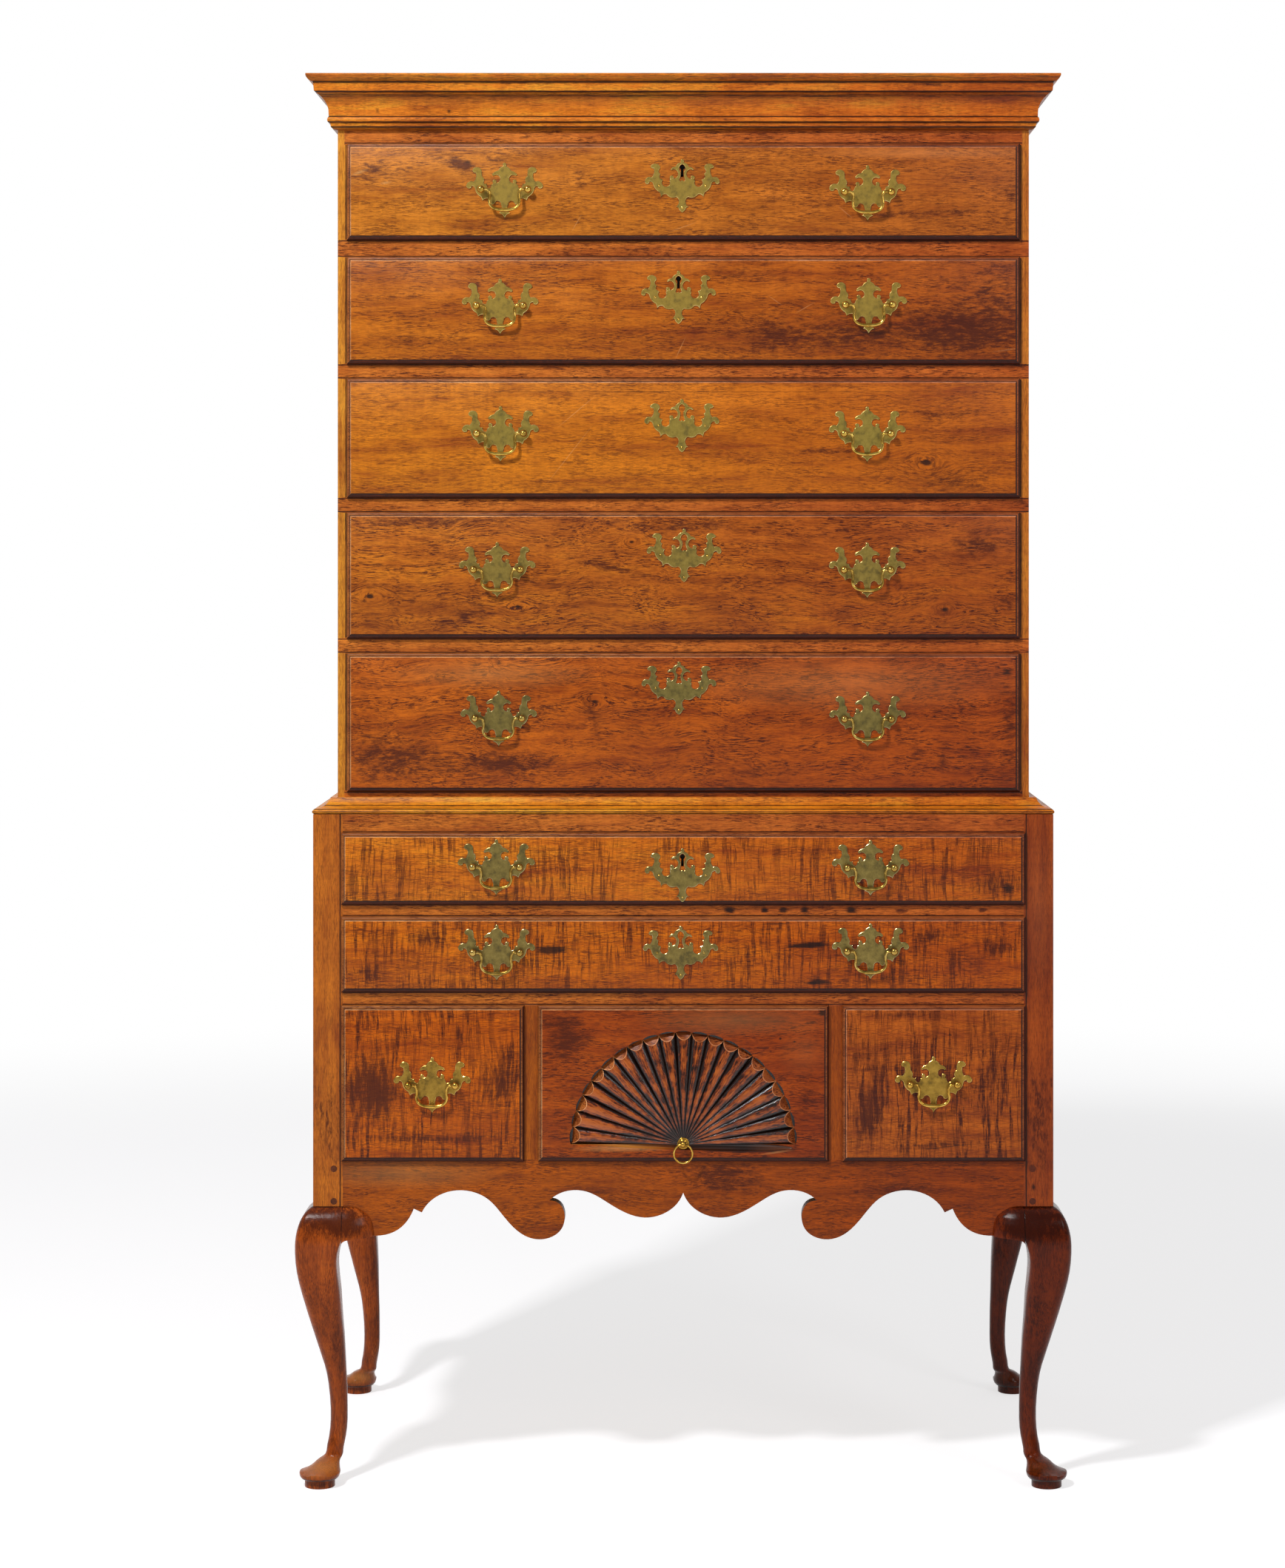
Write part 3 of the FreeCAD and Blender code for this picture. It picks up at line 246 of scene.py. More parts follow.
def white_floor():
    """Pale floor that fades into the white surroundings a few metres out."""
    material = new_finish("white studio floor")
    path = material.node_tree.nodes.new("ShaderNodeLightPath")
    seen = add(material, "Math", {0: path.outputs["Is Camera Ray"],
                                  1: path.outputs["Is Glossy Ray"]}, operation="MAXIMUM")
    place = add(material, "TexCoord", out="Object")
    reach = add(material, "VectorMath", {0: place}, out="Value", operation="LENGTH")
    far = add(material, "MapRange", {"Value": reach, "From Min": FLOOR_FADE_START,
                                     "From Max": FLOOR_FADE_END},
              interpolation_type="SMOOTHSTEP")
    paint = add(material, "BsdfDiffuse", {"Color": colour("#E6E6E8")})
    grey = add(material, "BsdfDiffuse", {"Color": colour("#C3C2C5")})
    lift = add(material, "Emission", {"Color": colour("#FFFFFF"), "Strength": 0.665})
    near = add(material, "AddShader", {0: grey, 1: lift})
    white = add(material, "Emission", {"Color": colour("#FFFFFF"), "Strength": 1.0})
    picture = add(material, "MixShader", {0: far, 1: near, 2: white})
    mixed = add(material, "MixShader", {0: seen, 1: paint, 2: picture})
    add(material, "OutputMaterial", {"Surface": mixed})
    return material


def white_surroundings(strength, front):
    """A white world: how bright it lights the chest, and how bright its front half looks."""
    world = bpy.context.scene.world or bpy.data.worlds.new("studio")
    bpy.context.scene.world = world
    world.use_nodes = True
    world.node_tree.nodes.clear()
    path = world.node_tree.nodes.new("ShaderNodeLightPath")
    clear = add(world, "Math", {0: path.outputs["Is Camera Ray"],
                                1: path.outputs["Is Transmission Ray"]}, operation="MAXIMUM")
    heading = add(world, "SeparateXYZ", {0: add(world, "TexCoord", out="Generated")}, out="Y")
    mirrored = add(world, "MapRange", {"Value": heading, "From Min": -0.5, "From Max": 0.4,
                                       "To Min": front, "To Max": 1.0})
    level = add(world, "Mix", {"Factor": path.outputs["Is Glossy Ray"], "A": strength,
                               "B": mirrored})
    level = add(world, "Mix", {"Factor": clear, "A": level, "B": 1.0})
    light = add(world, "Background", {"Color": colour("#FFFFFF"), "Strength": level})
    add(world, "OutputWorld", {"Surface": light})


def lamp(name, place, aim, wide, watts):
    """A square soft box that looks at a point."""
    clear_bench()
    bpy.ops.object.light_add(type="AREA", location=place)
    light = bpy.context.object
    light.name = name
    light.rotation_euler = (aim - place).to_track_quat("-Z", "Y").to_euler()
    light.data.size = wide
    light.data.energy = watts
    light.visible_camera = False
    return light


clear_bench()
bpy.ops.mesh.primitive_plane_add(size=60, location=(0, 0, 0))
floor = settle("floor")
floor.data.materials.append(white_floor())
white_surroundings(0.27, 0.28)
chest_middle = Vector((0, -0.2, 1.1))
lamp("main lamp", Vector((-1.75, -2.7, 4.0)), chest_middle, 0.38, 138)
lamp("fill lamp", Vector((2.6, -3.4, 2.8)), chest_middle, 1.2, 26)
print("two lamps and a floor")

# %% [markdown]
# ## Maple, two centuries old
#
# New England maple is hard, fine and pale, and takes on a honey to red-brown tone under old
# varnish. Four things give it away. Long fibres run along the board as thin streaks. Dirt and
# wax have gone into worn places and follow the fibres, as red-brown stains with ragged ends.
# Some boards are curly: light and dark bars cross the grain. And the whole surface is satin,
# because the varnish has been rubbed for generations. Each is a noise, squeezed across the
# grain and drawn out along it, at its real size in millimetres. Only the fibres and threads
# are coarser than real ones, a millimetre or two wide, because maple's own pores are a tenth
# of that and wouldn't show on a whole chest.

# %% Patterns at their real size
def point_in_mm(material):
    """Where a point lies on the chest, in millimetres."""
    place = add(material, "TexCoord", out="Object")
    return add(material, "VectorMath", {0: place, "Scale": 1 / MM}, operation="SCALE")


def along_grain(grain, along, across):
    """Scale of a pattern that is drawn out along the grain, in 1 / mm."""
    return [1 / along if axis == grain else 1 / across for axis in "xyz"]


def mottling(material, point, scale, detail=3.0, rough=0.55, low=0.3, high=0.7):
    """Light and dark patches stretched to a scale, spread to fill 0 to 1."""
    local = add(material, "VectorMath", {0: point, 1: scale}, operation="MULTIPLY")
    raw = add(material, "TexNoise", {"Vector": local, "Scale": 1.0, "Detail": detail,
                                     "Roughness": rough}, out="Fac")
    return add(material, "MapRange", {"Value": raw, "From Min": low, "From Max": high})


def summed(material, start, *shares):
    """A starting value plus each pattern times its share."""
    total = start
    for pattern, share in shares:
        total = add(material, "Math", {0: pattern, 1: share, 2: total},
                    operation="MULTIPLY_ADD")
    return total


print("fibre scale, 1 / mm:", [round(value, 3) for value in along_grain("x", 38, 2.2)])

# %% [markdown]
# ## Spots, each in its own place
#
# The stains, worn patches and knots that a board has of its own can't come from a noise, which
# is alike everywhere. Each is a soft ellipse instead: a round gradient that a Mapping node
# moves, tilts and stretches. The ellipses are added up, and the fibres break up their outlines
# later, so that none looks like an ellipse.

# %% Soft spots
ANY_DEPTH = 10000


def soft_spot(material, point, spot, total):
    """Adds one soft ellipse (x, z, half width, half height, tilt, strength) to a total."""
    x, z, half_wide, half_high, tilt, strength = spot
    local = add(material, "Mapping", {"Vector": point, "Location": (x, 0, z),
                                      "Rotation": (0, math.radians(-tilt), 0),
                                      "Scale": (half_wide, ANY_DEPTH, half_high)},
                vector_type="TEXTURE")
    mound = add(material, "TexGradient", {"Vector": local}, out="Fac",
                gradient_type="SPHERICAL")
    return summed(material, total, (mound, strength))


def spots(material, point, listed, start=0.0):
    total = start
    for spot in listed:
        total = soft_spot(material, point, spot, total)
    return total


print("a spot reaches any depth up to", ANY_DEPTH, "mm")

# %% [markdown]
# ## Grain that wanders
#
# No tree grows straight, so the grain's lines swell from side to side, slowly over a hand's
# breadth and quickly over an inch. Where a branch grew, they step aside round its knot. Every
# pattern of the wood is read at a point that has been pushed about in this way, and so all
# its streaks bend together, as they do in a real board.

# %% Wandering grain
SLOW_PERIOD, QUICK_PERIOD = 130, 24
KNOT_LONG, KNOT_HIGH, KNOT_PUSH = 2.6, 1.5, 2.2


def wandering_grain(material, point, wave, knots):
    """The point pushed aside by slow and quick swells and round each knot (x, z, radius)."""
    wavy = point
    for swell, period in ((wave, SLOW_PERIOD), (0.8 + wave * 0.06, QUICK_PERIOD)):
        wander = add(material, "TexNoise", {"Vector": point, "Scale": 1 / period,
                                            "Detail": 1.0}, out="Color")
        drift = add(material, "VectorMath", {0: wander, 1: (0.5, 0.5, 0.5)},
                    operation="SUBTRACT")
        wavy = add(material, "VectorMath", {0: drift, 1: (2 * swell,) * 3, 2: wavy},
                   operation="MULTIPLY_ADD")
    for x, z, radius in knots:
        around = add(material, "Mapping", {"Vector": point, "Location": (x, 0, z),
                                           "Scale": (radius * KNOT_LONG, ANY_DEPTH,
                                                     radius * KNOT_HIGH)},
                     vector_type="TEXTURE")
        swell = add(material, "TexGradient", {"Vector": around}, out="Fac",
                    gradient_type="SPHERICAL")
        push = add(material, "VectorMath", {0: around, "Scale": swell}, operation="SCALE")
        wavy = add(material, "VectorMath", {0: push, 1: (0, 0, -KNOT_PUSH * radius), 2: wavy},
                   operation="MULTIPLY_ADD")
    return wavy


print("grain swells over", SLOW_PERIOD, "and", QUICK_PERIOD, "mm")

# %% [markdown]
# ## Coats of darker colour
#
# A finish like this is a pile of thin coats over the body colour of the wood: the faint curl
# that every board has, the strong bars of a curly one, short dark threads where stain sank
# into open grain, stains, pores, and grime together with painted shade in joints and quirks.
# Each function below works out how much of one coat there is at a point, from 0 to 1. The
# board then lays them on in order.

# %% Coats
CURL_BROWN = "#7E3818"
BAR_BROWN = "#401508"
DEEP_STAIN = "#4C1D0A"
PORE_BROWN = "#46190B"
# near-black for grime, and for the painted shade lines in joints and quirks
GRIME_AND_SHADE_BLACK = "#220E08"
PALE_WEAR = "#D9A05E"


def curly_bars(material, point, wavy, grain, fibres, bars):
    """Dark bars across a curly board, a few millimetres apart, strong only in places."""
    ribs = mottling(material, wavy, along_grain(grain, 4.4, 60), 4.0, 0.7, 0.5, 0.58)
    where = mottling(material, point, along_grain(grain, 60, 75), 2.0, 0.5, 0.36, 0.56)
    for factor in (where, summed(material, 0.35, (fibres, 0.7))):
        ribs = add(material, "Math", {0: ribs, 1: factor}, operation="MULTIPLY")
    return add(material, "Math", {0: ribs, 1: 1.25 * bars}, operation="MULTIPLY",
               use_clamp=True)


def dark_threads(material, wavy, grain, wild):
    """Short dark threads in drifts, longer and darker the wilder the board is."""
    thread = mottling(material, wavy, along_grain(grain, 9 + 10 * wild, 1.05), 4.0, 0.7,
                      0.49, 0.56)
    drifts = mottling(material, wavy, along_grain(grain, 80, 16), 4.0, 0.7, 0.36, 0.56)
    for factor in (drifts, min(0.25 + 1.5 * wild, 1.0)):
        thread = add(material, "Math", {0: thread, 1: factor}, operation="MULTIPLY")
    return thread


def stained_parts(material, point, wavy, grain, fibres, listed, stain, bars):
    """Where the spots add up, fibres and mottling decide which parts go dark."""
    patch = (5, 26) if bars else (15, 4.5)
    broken = mottling(material, wavy, along_grain(grain, *patch), 5.0, 0.74, 0.34, 0.66)
    ragged = summed(material, spots(material, point, listed, stain - 0.62),
                    (fibres, 0.4), (broken, 0.75))
    return add(material, "MapRange", {"Value": ragged, "From Min": 0.15, "From Max": 0.85,
                                      "To Max": 0.9}, interpolation_type="SMOOTHSTEP")


def grime_and_shade_parts(material, point, fibres, listed):
    """Grime and painted shade in spots, with a harder edge than a stain."""
    ragged = summed(material, spots(material, point, listed, -0.35), (fibres, 0.5))
    return add(material, "MapRange", {"Value": ragged, "From Min": 0.05, "From Max": 0.4,
                                      "To Max": 0.92})


print("stains", DEEP_STAIN, "grime_and_shade", GRIME_AND_SHADE_BLACK, "wear_and_shade", PALE_WEAR)

# %% [markdown]
# ## A board of old varnished maple
#
# Slow bands and clouds give a board its tone and fine fibres its texture, and a colour ramp
# turns their sum into a pale, a middle and a deep brown. The coats go on top. Last comes a
# darker, redder tint towards the right: partly an old finish that has gone redder, partly
# painted shade where the light falls off to the right. The varnish is a clear film over the
# wood, with the usual IOR of 1.5, and it is duller where the clouds are pale.

# %% Maple
DARKER_RIGHT_FROM, DARKER_RIGHT_TO = -350, 450


def maple(name, tones, grain="x", wave=9, wild=0.3, bars=0.0, stain=0.0, stains=(), dirt_and_shade=(),
          rubs=(), knots=(), right="#EDD3E4", gloss=0.38, shine=0.2):
    """Old varnished maple. tones are its pale, middle and deep colours.

    wave is how far its fibres wander in mm, wild how many short dark threads it has, bars how
    strong the bars across a curly board are, stain how stained it is all over, and right the
    darker, redder tint of its right-hand end: partly a redder finish, partly painted shade.
    """
    material = new_finish(name)
    point = point_in_mm(material)
    wavy = wandering_grain(material, point, wave, knots)
    figure = mottling(material, wavy, along_grain(grain, 240, 14), 4.0, 0.62)
    fibres = mottling(material, wavy, along_grain(grain, 38, 2.2), 6.0, 0.74, 0.32, 0.68)
    clouds = mottling(material, point, along_grain(grain, 95, 48), 4.0, 0.62)
    tone = summed(material, 0.05, (figure, 0.34), (fibres, 0.26), (clouds, 0.3))
    pale, middle, deep = tones
    body = add(material, "ValToRGB", {"Fac": tone}, out="Color",
               stops=((0.18, deep), (0.5, middle), (0.86, pale)))

    curl = mottling(material, wavy, along_grain(grain, 4.2, 55), 2.0, 0.5, 0.45, 0.75)
    coats = [(summed(material, 0.0, (curl, 0.16 + 0.25 * bars)), CURL_BROWN)]
    if bars:
        coats.append((curly_bars(material, point, wavy, grain, fibres, bars), BAR_BROWN))
    coats.append((dark_threads(material, wavy, grain, wild), DEEP_STAIN))
    if stains or stain:
        coats.append((stained_parts(material, point, wavy, grain, fibres, stains, stain, bars),
                      DEEP_STAIN))
    pores = mottling(material, wavy, along_grain(grain, 11, 1.1), 3.0, 0.6, 0.5, 0.66)
    coats.append((summed(material, 0.0, (pores, 0.42)), PORE_BROWN))
    grime_and_shade_spots = list(dirt_and_shade) + [(x, z, radius * 0.55, radius * 0.3, 0, 0.8) for x, z, radius in knots]
    if grime_and_shade_spots:
        coats.append((grime_and_shade_parts(material, point, fibres, grime_and_shade_spots), GRIME_AND_SHADE_BLACK))
    if rubs:
        worn = add(material, "Math", {0: spots(material, point, rubs), 1: 0.7},
                   operation="MINIMUM")
        coats.append((worn, PALE_WEAR))
    for amount, tint in coats:
        body = add(material, "Mix", {"Factor": amount, "A": body, "B": colour(tint)},
                   data_type="RGBA")

    # darker and redder to the right: partly a redder finish, partly painted shade
    across = add(material, "SeparateXYZ", {0: point}, out="X")
    darker_right = add(material, "MapRange", {"Value": across, "From Min": DARKER_RIGHT_FROM,
                                        "From Max": DARKER_RIGHT_TO},
                 interpolation_type="SMOOTHSTEP")
    body = add(material, "Mix", {"Factor": darker_right, "A": body, "B": colour(right)},
               data_type="RGBA", blend_type="MULTIPLY")
    rough = summed(material, gloss - 0.07, (clouds, 0.14))
    relief = add(material, "Bump", {"Height": fibres, "Strength": 0.22, "Distance": 0.0003},
                 out="Normal")
    return surface(material, {"Base Color": body, "Roughness": rough, "Normal": relief,
                              "IOR": 1.5, "Specular IOR Level": shine})


print("maple reddens from", DARKER_RIGHT_FROM, "to", DARKER_RIGHT_TO, "mm across")

# %% [markdown]
# ## One finish for each board
#
# No two boards of this chest match. The upper drawers are honey coloured and fairly plain, the
# fourth and fifth were cut from wild, stained wood, and the lower ones are curly. So each board
# has its own three tones, its own strength of figure, and a list of the stains, dirt, rubbed
# places and knots that it has picked up. A spot is across, up, half width, half height, tilt
# and strength, and a knot across, up and radius.

# %% Finishes of the upper fronts
front_maples = {
    "top_drawer": maple(
        "maple, top drawer", ("#E78D28", "#C4741C", "#8F4510"), wave=6, wild=0.35,
        stains=((-300, 1789, 46, 17, -20, 1.0), (-248, 1797, 34, 10, 0, 0.8),
                (-420, 1784, 34, 15, 15, 0.8), (-382, 1740, 46, 10, 4, 0.5),
                (-330, 1735, 40, 9, 0, 0.5), (-140, 1766, 12, 42, 6, 0.55),
                (112, 1737, 32, 12, 25, 0.5), (300, 1722, 170, 7, 2, 0.6),
                (446, 1752, 18, 74, 0, 0.55), (40, 1795, 70, 8, 0, 0.4)),
        dirt_and_shade=((0, 1786, 7, 7, 0, 0.7), (-292, 1793, 12, 5, -25, 0.5)),
        rubs=((-440, 1779, 14, 3, 20, 0.5), (-404, 1765, 9, 2.5, 10, 0.5),
              (-145, 1710, 16, 0.8, 60, 0.6), (0, 1705, 22, 0.8, 20, 0.6),
              (220, 1725, 15, 0.8, -40, 0.6), (345, 1806, 190, 11, 0, 0.3))),
    "second_drawer": maple(
        "maple, second drawer", ("#DD801B", "#BC6613", "#863C10"), wave=7, wild=0.4,
        stains=((-370, 1550, 90, 12, 0, 0.55), (-285, 1625, 24, 15, -30, 0.8),
                (235, 1560, 250, 50, 2, 0.75), (420, 1592, 130, 130, 0, 0.62),
                (115, 1556, 60, 30, 0, 0.3),
                (378, 1555, 92, 30, 0, 0.25), (60, 1640, 90, 12, 0, 0.45)),
        rubs=((165, 1595, 18, 0.8, 30, 0.6), (125, 1605, 14, 0.8, -35, 0.5),
              (-4, 1540, 20, 0.8, 65, 0.6), (440, 1538, 26, 1.6, 8, 0.35))),
    "third_drawer": maple(
        "maple, third drawer", ("#EC8C18", "#CD7615", "#974812"), wave=6, wild=0.25,
        stains=((180, 1400, 100, 8, 0, 0.65), (350, 1450, 120, 13, 0, 0.55),
                (368, 1360, 100, 22, 0, 0.65), (-50, 1370, 60, 8, 0, 0.55),
                (-130, 1345, 36, 8, 0, 0.5), (-450, 1355, 12, 9, 0, 0.6),
                (0, 1491, 460, 9, 0, 0.35), (100, 1440, 60, 7, 3, 0.4)),
        dirt_and_shade=((0, 1481, 700, 0.9, 0, 0.5),), knots=((330, 1385, 20),),
        rubs=((-144, 1455, 40, 0.8, 40, 0.55), (-155, 1395, 60, 0.8, 52, 0.5))),
    "fourth_drawer": maple(
        "maple, fourth drawer", ("#DC811A", "#BD6617", "#783409"), wave=15, wild=0.85,
        stain=0.12,
        stains=((-350, 1306, 120, 13, 0, 0.6), (0, 1300, 120, 14, 0, 0.55),
                (-100, 1243, 120, 9, -14, 0.6), (-300, 1175, 66, 14, 22, 0.6),
                (404, 1275, 62, 30, 0, 0.6), (440, 1195, 16, 12, 0, 0.7)),
        knots=((-425, 1203, 13), (-225, 1190, 11), (-70, 1277, 11), (355, 1185, 15)),
        rubs=((-300, 1250, 30, 0.8, 12, 0.4),)),
    "fifth_drawer": maple(
        "maple, fifth drawer", ("#DB7215", "#B95B11", "#74290A"), wave=14, wild=0.7,
        stain=0.05,
        stains=((-400, 985, 110, 56, 0, 0.72), (-370, 980, 30, 24, 0, 0.2),
                (-250, 975, 110, 26, 0, 0.8), (100, 965, 100, 16, 0, 0.5),
                (-215, 1045, 100, 17, 0, 0.6), (-122, 1042, 16, 56, 14, 0.6),
                (315, 990, 18, 46, 0, 0.5), (352, 980, 16, 26, 0, 0.6),
                (300, 1035, 20, 40, 0, 0.5), (444, 1030, 28, 100, 0, 0.5)),
        dirt_and_shade=((440, 1100, 11, 7, 0, 0.7),), knots=((-120, 1060, 14),),
        rubs=((-260, 1098, 150, 24, 0, 0.2), (230, 1085, 240, 44, 0, 0.24))),
}
print(len(front_maples), "upper fronts have a finish")

# %% Finishes of the lower fronts
front_maples.update({
    "sixth_drawer": maple(
        "curly maple, sixth drawer", ("#F0931B", "#DB7715", "#984210"), wave=6, wild=0.3,
        bars=0.75,
        stains=((200, 860, 120, 9, 0, 0.45), (-330, 800, 90, 8, 0, 0.5),
                (425, 815, 60, 34, 0, 0.8), (255, 812, 70, 12, 0, 0.7)),
        dirt_and_shade=((438, 810, 11, 15, 0, 0.7),)),
    "seventh_drawer": maple(
        "curly maple, seventh drawer", ("#ED840D", "#CF690C", "#89380B"), wave=6, wild=0.35,
        bars=0.8,
        stains=((-345, 742, 50, 20, 0, 0.9), (-424, 695, 30, 20, 0, 0.8),
                (-127, 750, 16, 9, 0, 0.7), (171, 733, 32, 9, 0, 0.7),
                (177, 684, 18, 9, 0, 0.7), (273, 690, 18, 9, 0, 0.7),
                (423, 731, 40, 24, 0, 0.9), (120, 755, 42, 7, 0, 0.6),
                (330, 745, 60, 18, 0, 0.8)),
        dirt_and_shade=((-180, 727, 34, 8, 2, 0.85), (168, 733, 40, 6, 3, 0.9),
              (183, 684, 24, 5, 2, 0.9), (128, 762, 30, 3, 0, 0.6))),
    "left_small_drawer": maple(
        "curly maple, left small drawer", ("#EC7808", "#C95F08", "#7C2908"), wave=7, wild=0.25,
        bars=0.9, stain=0.05,
        stains=((-424, 545, 70, 84, 0, 0.95), (-404, 525, 30, 40, 0, 0.25),
                (-246, 550, 40, 60, 0, 0.88), (-330, 472, 130, 9, 0, 0.8),
                (-440, 640, 30, 24, 0, 0.5),
                (-300, 610, 20, 30, 0, 0.5)),
        dirt_and_shade=((-330, 458, 34, 1.6, 0, 0.5),)),
    "fan_drawer": maple(
        "maple, fan drawer", ("#C55D0E", "#A24509", "#652208"), wave=8, wild=0.5, stain=0.06,
        stains=((-150, 606, 50, 16, 0, 0.75), (-160, 586, 34, 40, 0, 0.55),
                (-165, 630, 50, 20, 0, 0.8), (168, 530, 20, 50, 0, 0.6)),
        # under the hollow, the long dark spot at the right is painted shadow and the long rub at
        # the left painted light; the two broad rubs make the flat above and right of the fan paler
        dirt_and_shade=((187, 642, 8, 6, 0, 0.8), (131, 607, 2.6, 2.2, 0, 0.9),
              (150, 603, 2.4, 2, 0, 0.9), (76, 459, 96, 8, -1, 1.2)),
        rubs=((-76, 459.5, 80, 6, 1, 0.55), (125, 453.6, 26, 2, 8, 0.5),
              (75, 632, 150, 24, 0, 0.2), (165, 590, 40, 40, 0, 0.1))),
    "right_small_drawer": maple(
        "curly maple, right small drawer", ("#E58421", "#C2691A", "#732C17"), wave=7, wild=0.2,
        bars=1.0, stain=0.04,
        stains=((248, 498, 30, 50, 0, 1.0), (262, 560, 36, 60, 0, 0.6),
                (420, 560, 36, 80, 0, 0.6), (350, 464, 100, 8, 4, 0.7),
                (350, 545, 66, 40, 0, 0.85),
                (300, 640, 90, 12, 0, 0.6)),
        dirt_and_shade=((355, 461, 42, 1.8, 6, 0.55), (360, 612, 4, 3, 0, 0.6))),
})
print(len(front_maples), "fronts have a finish")

# %% [markdown]
# ## Dirt and shade along every joint
#
# The boards of the case are plainer than the fronts, but a dark line runs along every joint,
# lip and quirk: partly old wax and dust, where no cloth reaches, and partly painted shade in
# the gap. Such a line is a spot that is long enough to cross the whole chest and only a
# millimetre or two high.

# %% Finishes of the rails, posts and sides
ENDLESS = 3000
# lines beside the lips and edges of the drawers: partly dirt, partly painted shade in the gaps
UPPER_EDGES = tuple((side * 458.8, 1400, 1.5, ENDLESS, 0, 0.75) for side in (-1, 1))
POST_EDGES = tuple((side * 463.4, 600, 1.6, ENDLESS, 0, 0.75) for side in (-1, 1))
LIP_LINES = tuple((0, height, ENDLESS, 1.3, 0, 0.75) for height in (
    1820.0, 1686.6, 1665.9, 1518.0, 1500.3, 1336.4, 1318.5, 1145.0, 1127.2, 936.4, 885.4,
    786.4, 772.2, 668.1, 652.3, 439.8))
rail_maple = maple("maple, drawer rails", ("#ED8D30", "#CA6F24", "#8E3D14"), wave=5, wild=0.45,
                   stains=((63, 779, 9, 5, 0, 1.2), (111, 779, 8, 4, 0, 1.2),
                           (164, 779, 9, 4, 0, 1.1), (227, 779, 9, 4, 0, 1.1),
                           (293, 779, 14, 5, 0, 1.2), (405, 779, 10, 4, 0, 1.2),
                           (-60, 1675, 60, 6, 0, 0.7), (260, 1676, 90, 6, 0, 0.6),
                           (-260, 1328, 90, 5, 0, 0.5), (250, 1136, 110, 5, 0, 0.5)),
                   dirt_and_shade=LIP_LINES + ((63, 780, 14, 6, 0, 0.8), (110, 780, 8, 6, 0, 0.8),
                                     (135, 780, 9, 6, 0, 0.8), (164, 780, 8, 7, 0, 0.8),
                                     (227, 780, 11, 7, 0, 0.8)))
upper_edge_maple = maple("maple, edges of the upper sides", ("#ECA834", "#D68A2A", "#9C531B"),
                         "z", wave=4, wild=0.06, dirt_and_shade=UPPER_EDGES)
# the two stains make both posts darker low down, and the rub makes the right one paler high up
post_maple = maple("maple, corner posts", ("#E08022", "#BC661C", "#893C11"), "z", wave=4,
                   wild=0.06, right="#D2ACC2",
                   stains=((480, 500, 34, 130, 0, 0.65), (-480, 490, 34, 110, 0, 0.55)),
                   rubs=((480, 790, 30, 120, 0, 0.16),),
                   dirt_and_shade=POST_EDGES + ((470, 431, 7, 8, 0, 0.7), (474, 405, 6, 8, 0, 0.6)))
# lines beside the small drawers' lips: partly dirt, partly painted shade in the gaps
UPRIGHT_EDGES = tuple((side * edge, 546, 1.3, ENDLESS, 0, 0.6) for side in (-1, 1)
                      for edge in (195.6, 215.4))
upright_maple = maple("maple, uprights between drawers", ("#CC6D12", "#AD580D", "#7D3307"), "z",
                      wave=4, wild=0.06, dirt_and_shade=UPRIGHT_EDGES)
side_maple = maple("maple, case sides", ("#DA8A37", "#B77026", "#814213"), "z", wave=10,
                   wild=0.4, stain=0.02)
lower_side_maple = maple("maple, lower case sides", ("#C87F36", "#A8672D", "#753A1A"), "y",
                         wave=10, wild=0.4, stain=0.02)
top_maple = maple("maple, dusty top", ("#C99766", "#A47242", "#714428"), wave=8, wild=0.4,
                  stain=0.05, gloss=0.6)
print("joints dirty on", len(LIP_LINES), "levels")

# %% Finishes of the mouldings
# quirk lines: partly dirt, partly painted shade; the band at 1881.5 is painted shadow under the
# ovolo
QUIRKS = tuple((0, height, ENDLESS, 1.7, 0, 0.8)
               for height in (1898.8, 1886.2, 1854.4, 1847.0, 1841.0)) + (
    (0, 1904.5, ENDLESS, 7, 0, 0.3), (0, 1881.5, ENDLESS, 5, 0, 0.45),
    (0, 1838, ENDLESS, 3, 0, 0.4))
CORNICE_TONES = ("#EDAA2F", "#E1801D", "#9D4910")
cornice_maple = maple("maple, cornice", CORNICE_TONES, wave=4, wild=0.15,
                      stains=((120, 1896, 60, 4, 0, 0.7), (330, 1895, 70, 5, 0, 0.7),
                              (-220, 1897, 60, 3, 0, 0.6), (40, 1850, 120, 5, 0, 0.4),
                              (-330, 1852, 90, 5, 0, 0.4)),
                      dirt_and_shade=QUIRKS + ((-415, 1862.5, 5, 5, 0, 0.5), (-318, 1861.5, 5, 5, 0, 0.5)))
cornice_return = maple("maple, cornice returns", CORNICE_TONES, "y", wave=4, wild=0.15,
                       dirt_and_shade=QUIRKS)
# quirk lines of the waist: partly dirt, partly painted shade in the recesses
WAIST_QUIRKS = tuple((0, height, ENDLESS, half, 0, strength) for height, half, strength in (
    (920, 1.1, 0.6), (915.8, 1, 0.7), (912.6, 1, 0.7), (909.6, 1.2, 0.7)))
waist_maple, waist_return = [
    maple("maple, waist " + part, ("#EDB327", "#ED911B", "#B15A15"), grain, wave=4, wild=0.3,
          dirt_and_shade=WAIST_QUIRKS) for part, grain in (("moulding", "x"), ("returns", "y"))]
print("dirt in", len(QUIRKS) + len(WAIST_QUIRKS), "quirks")

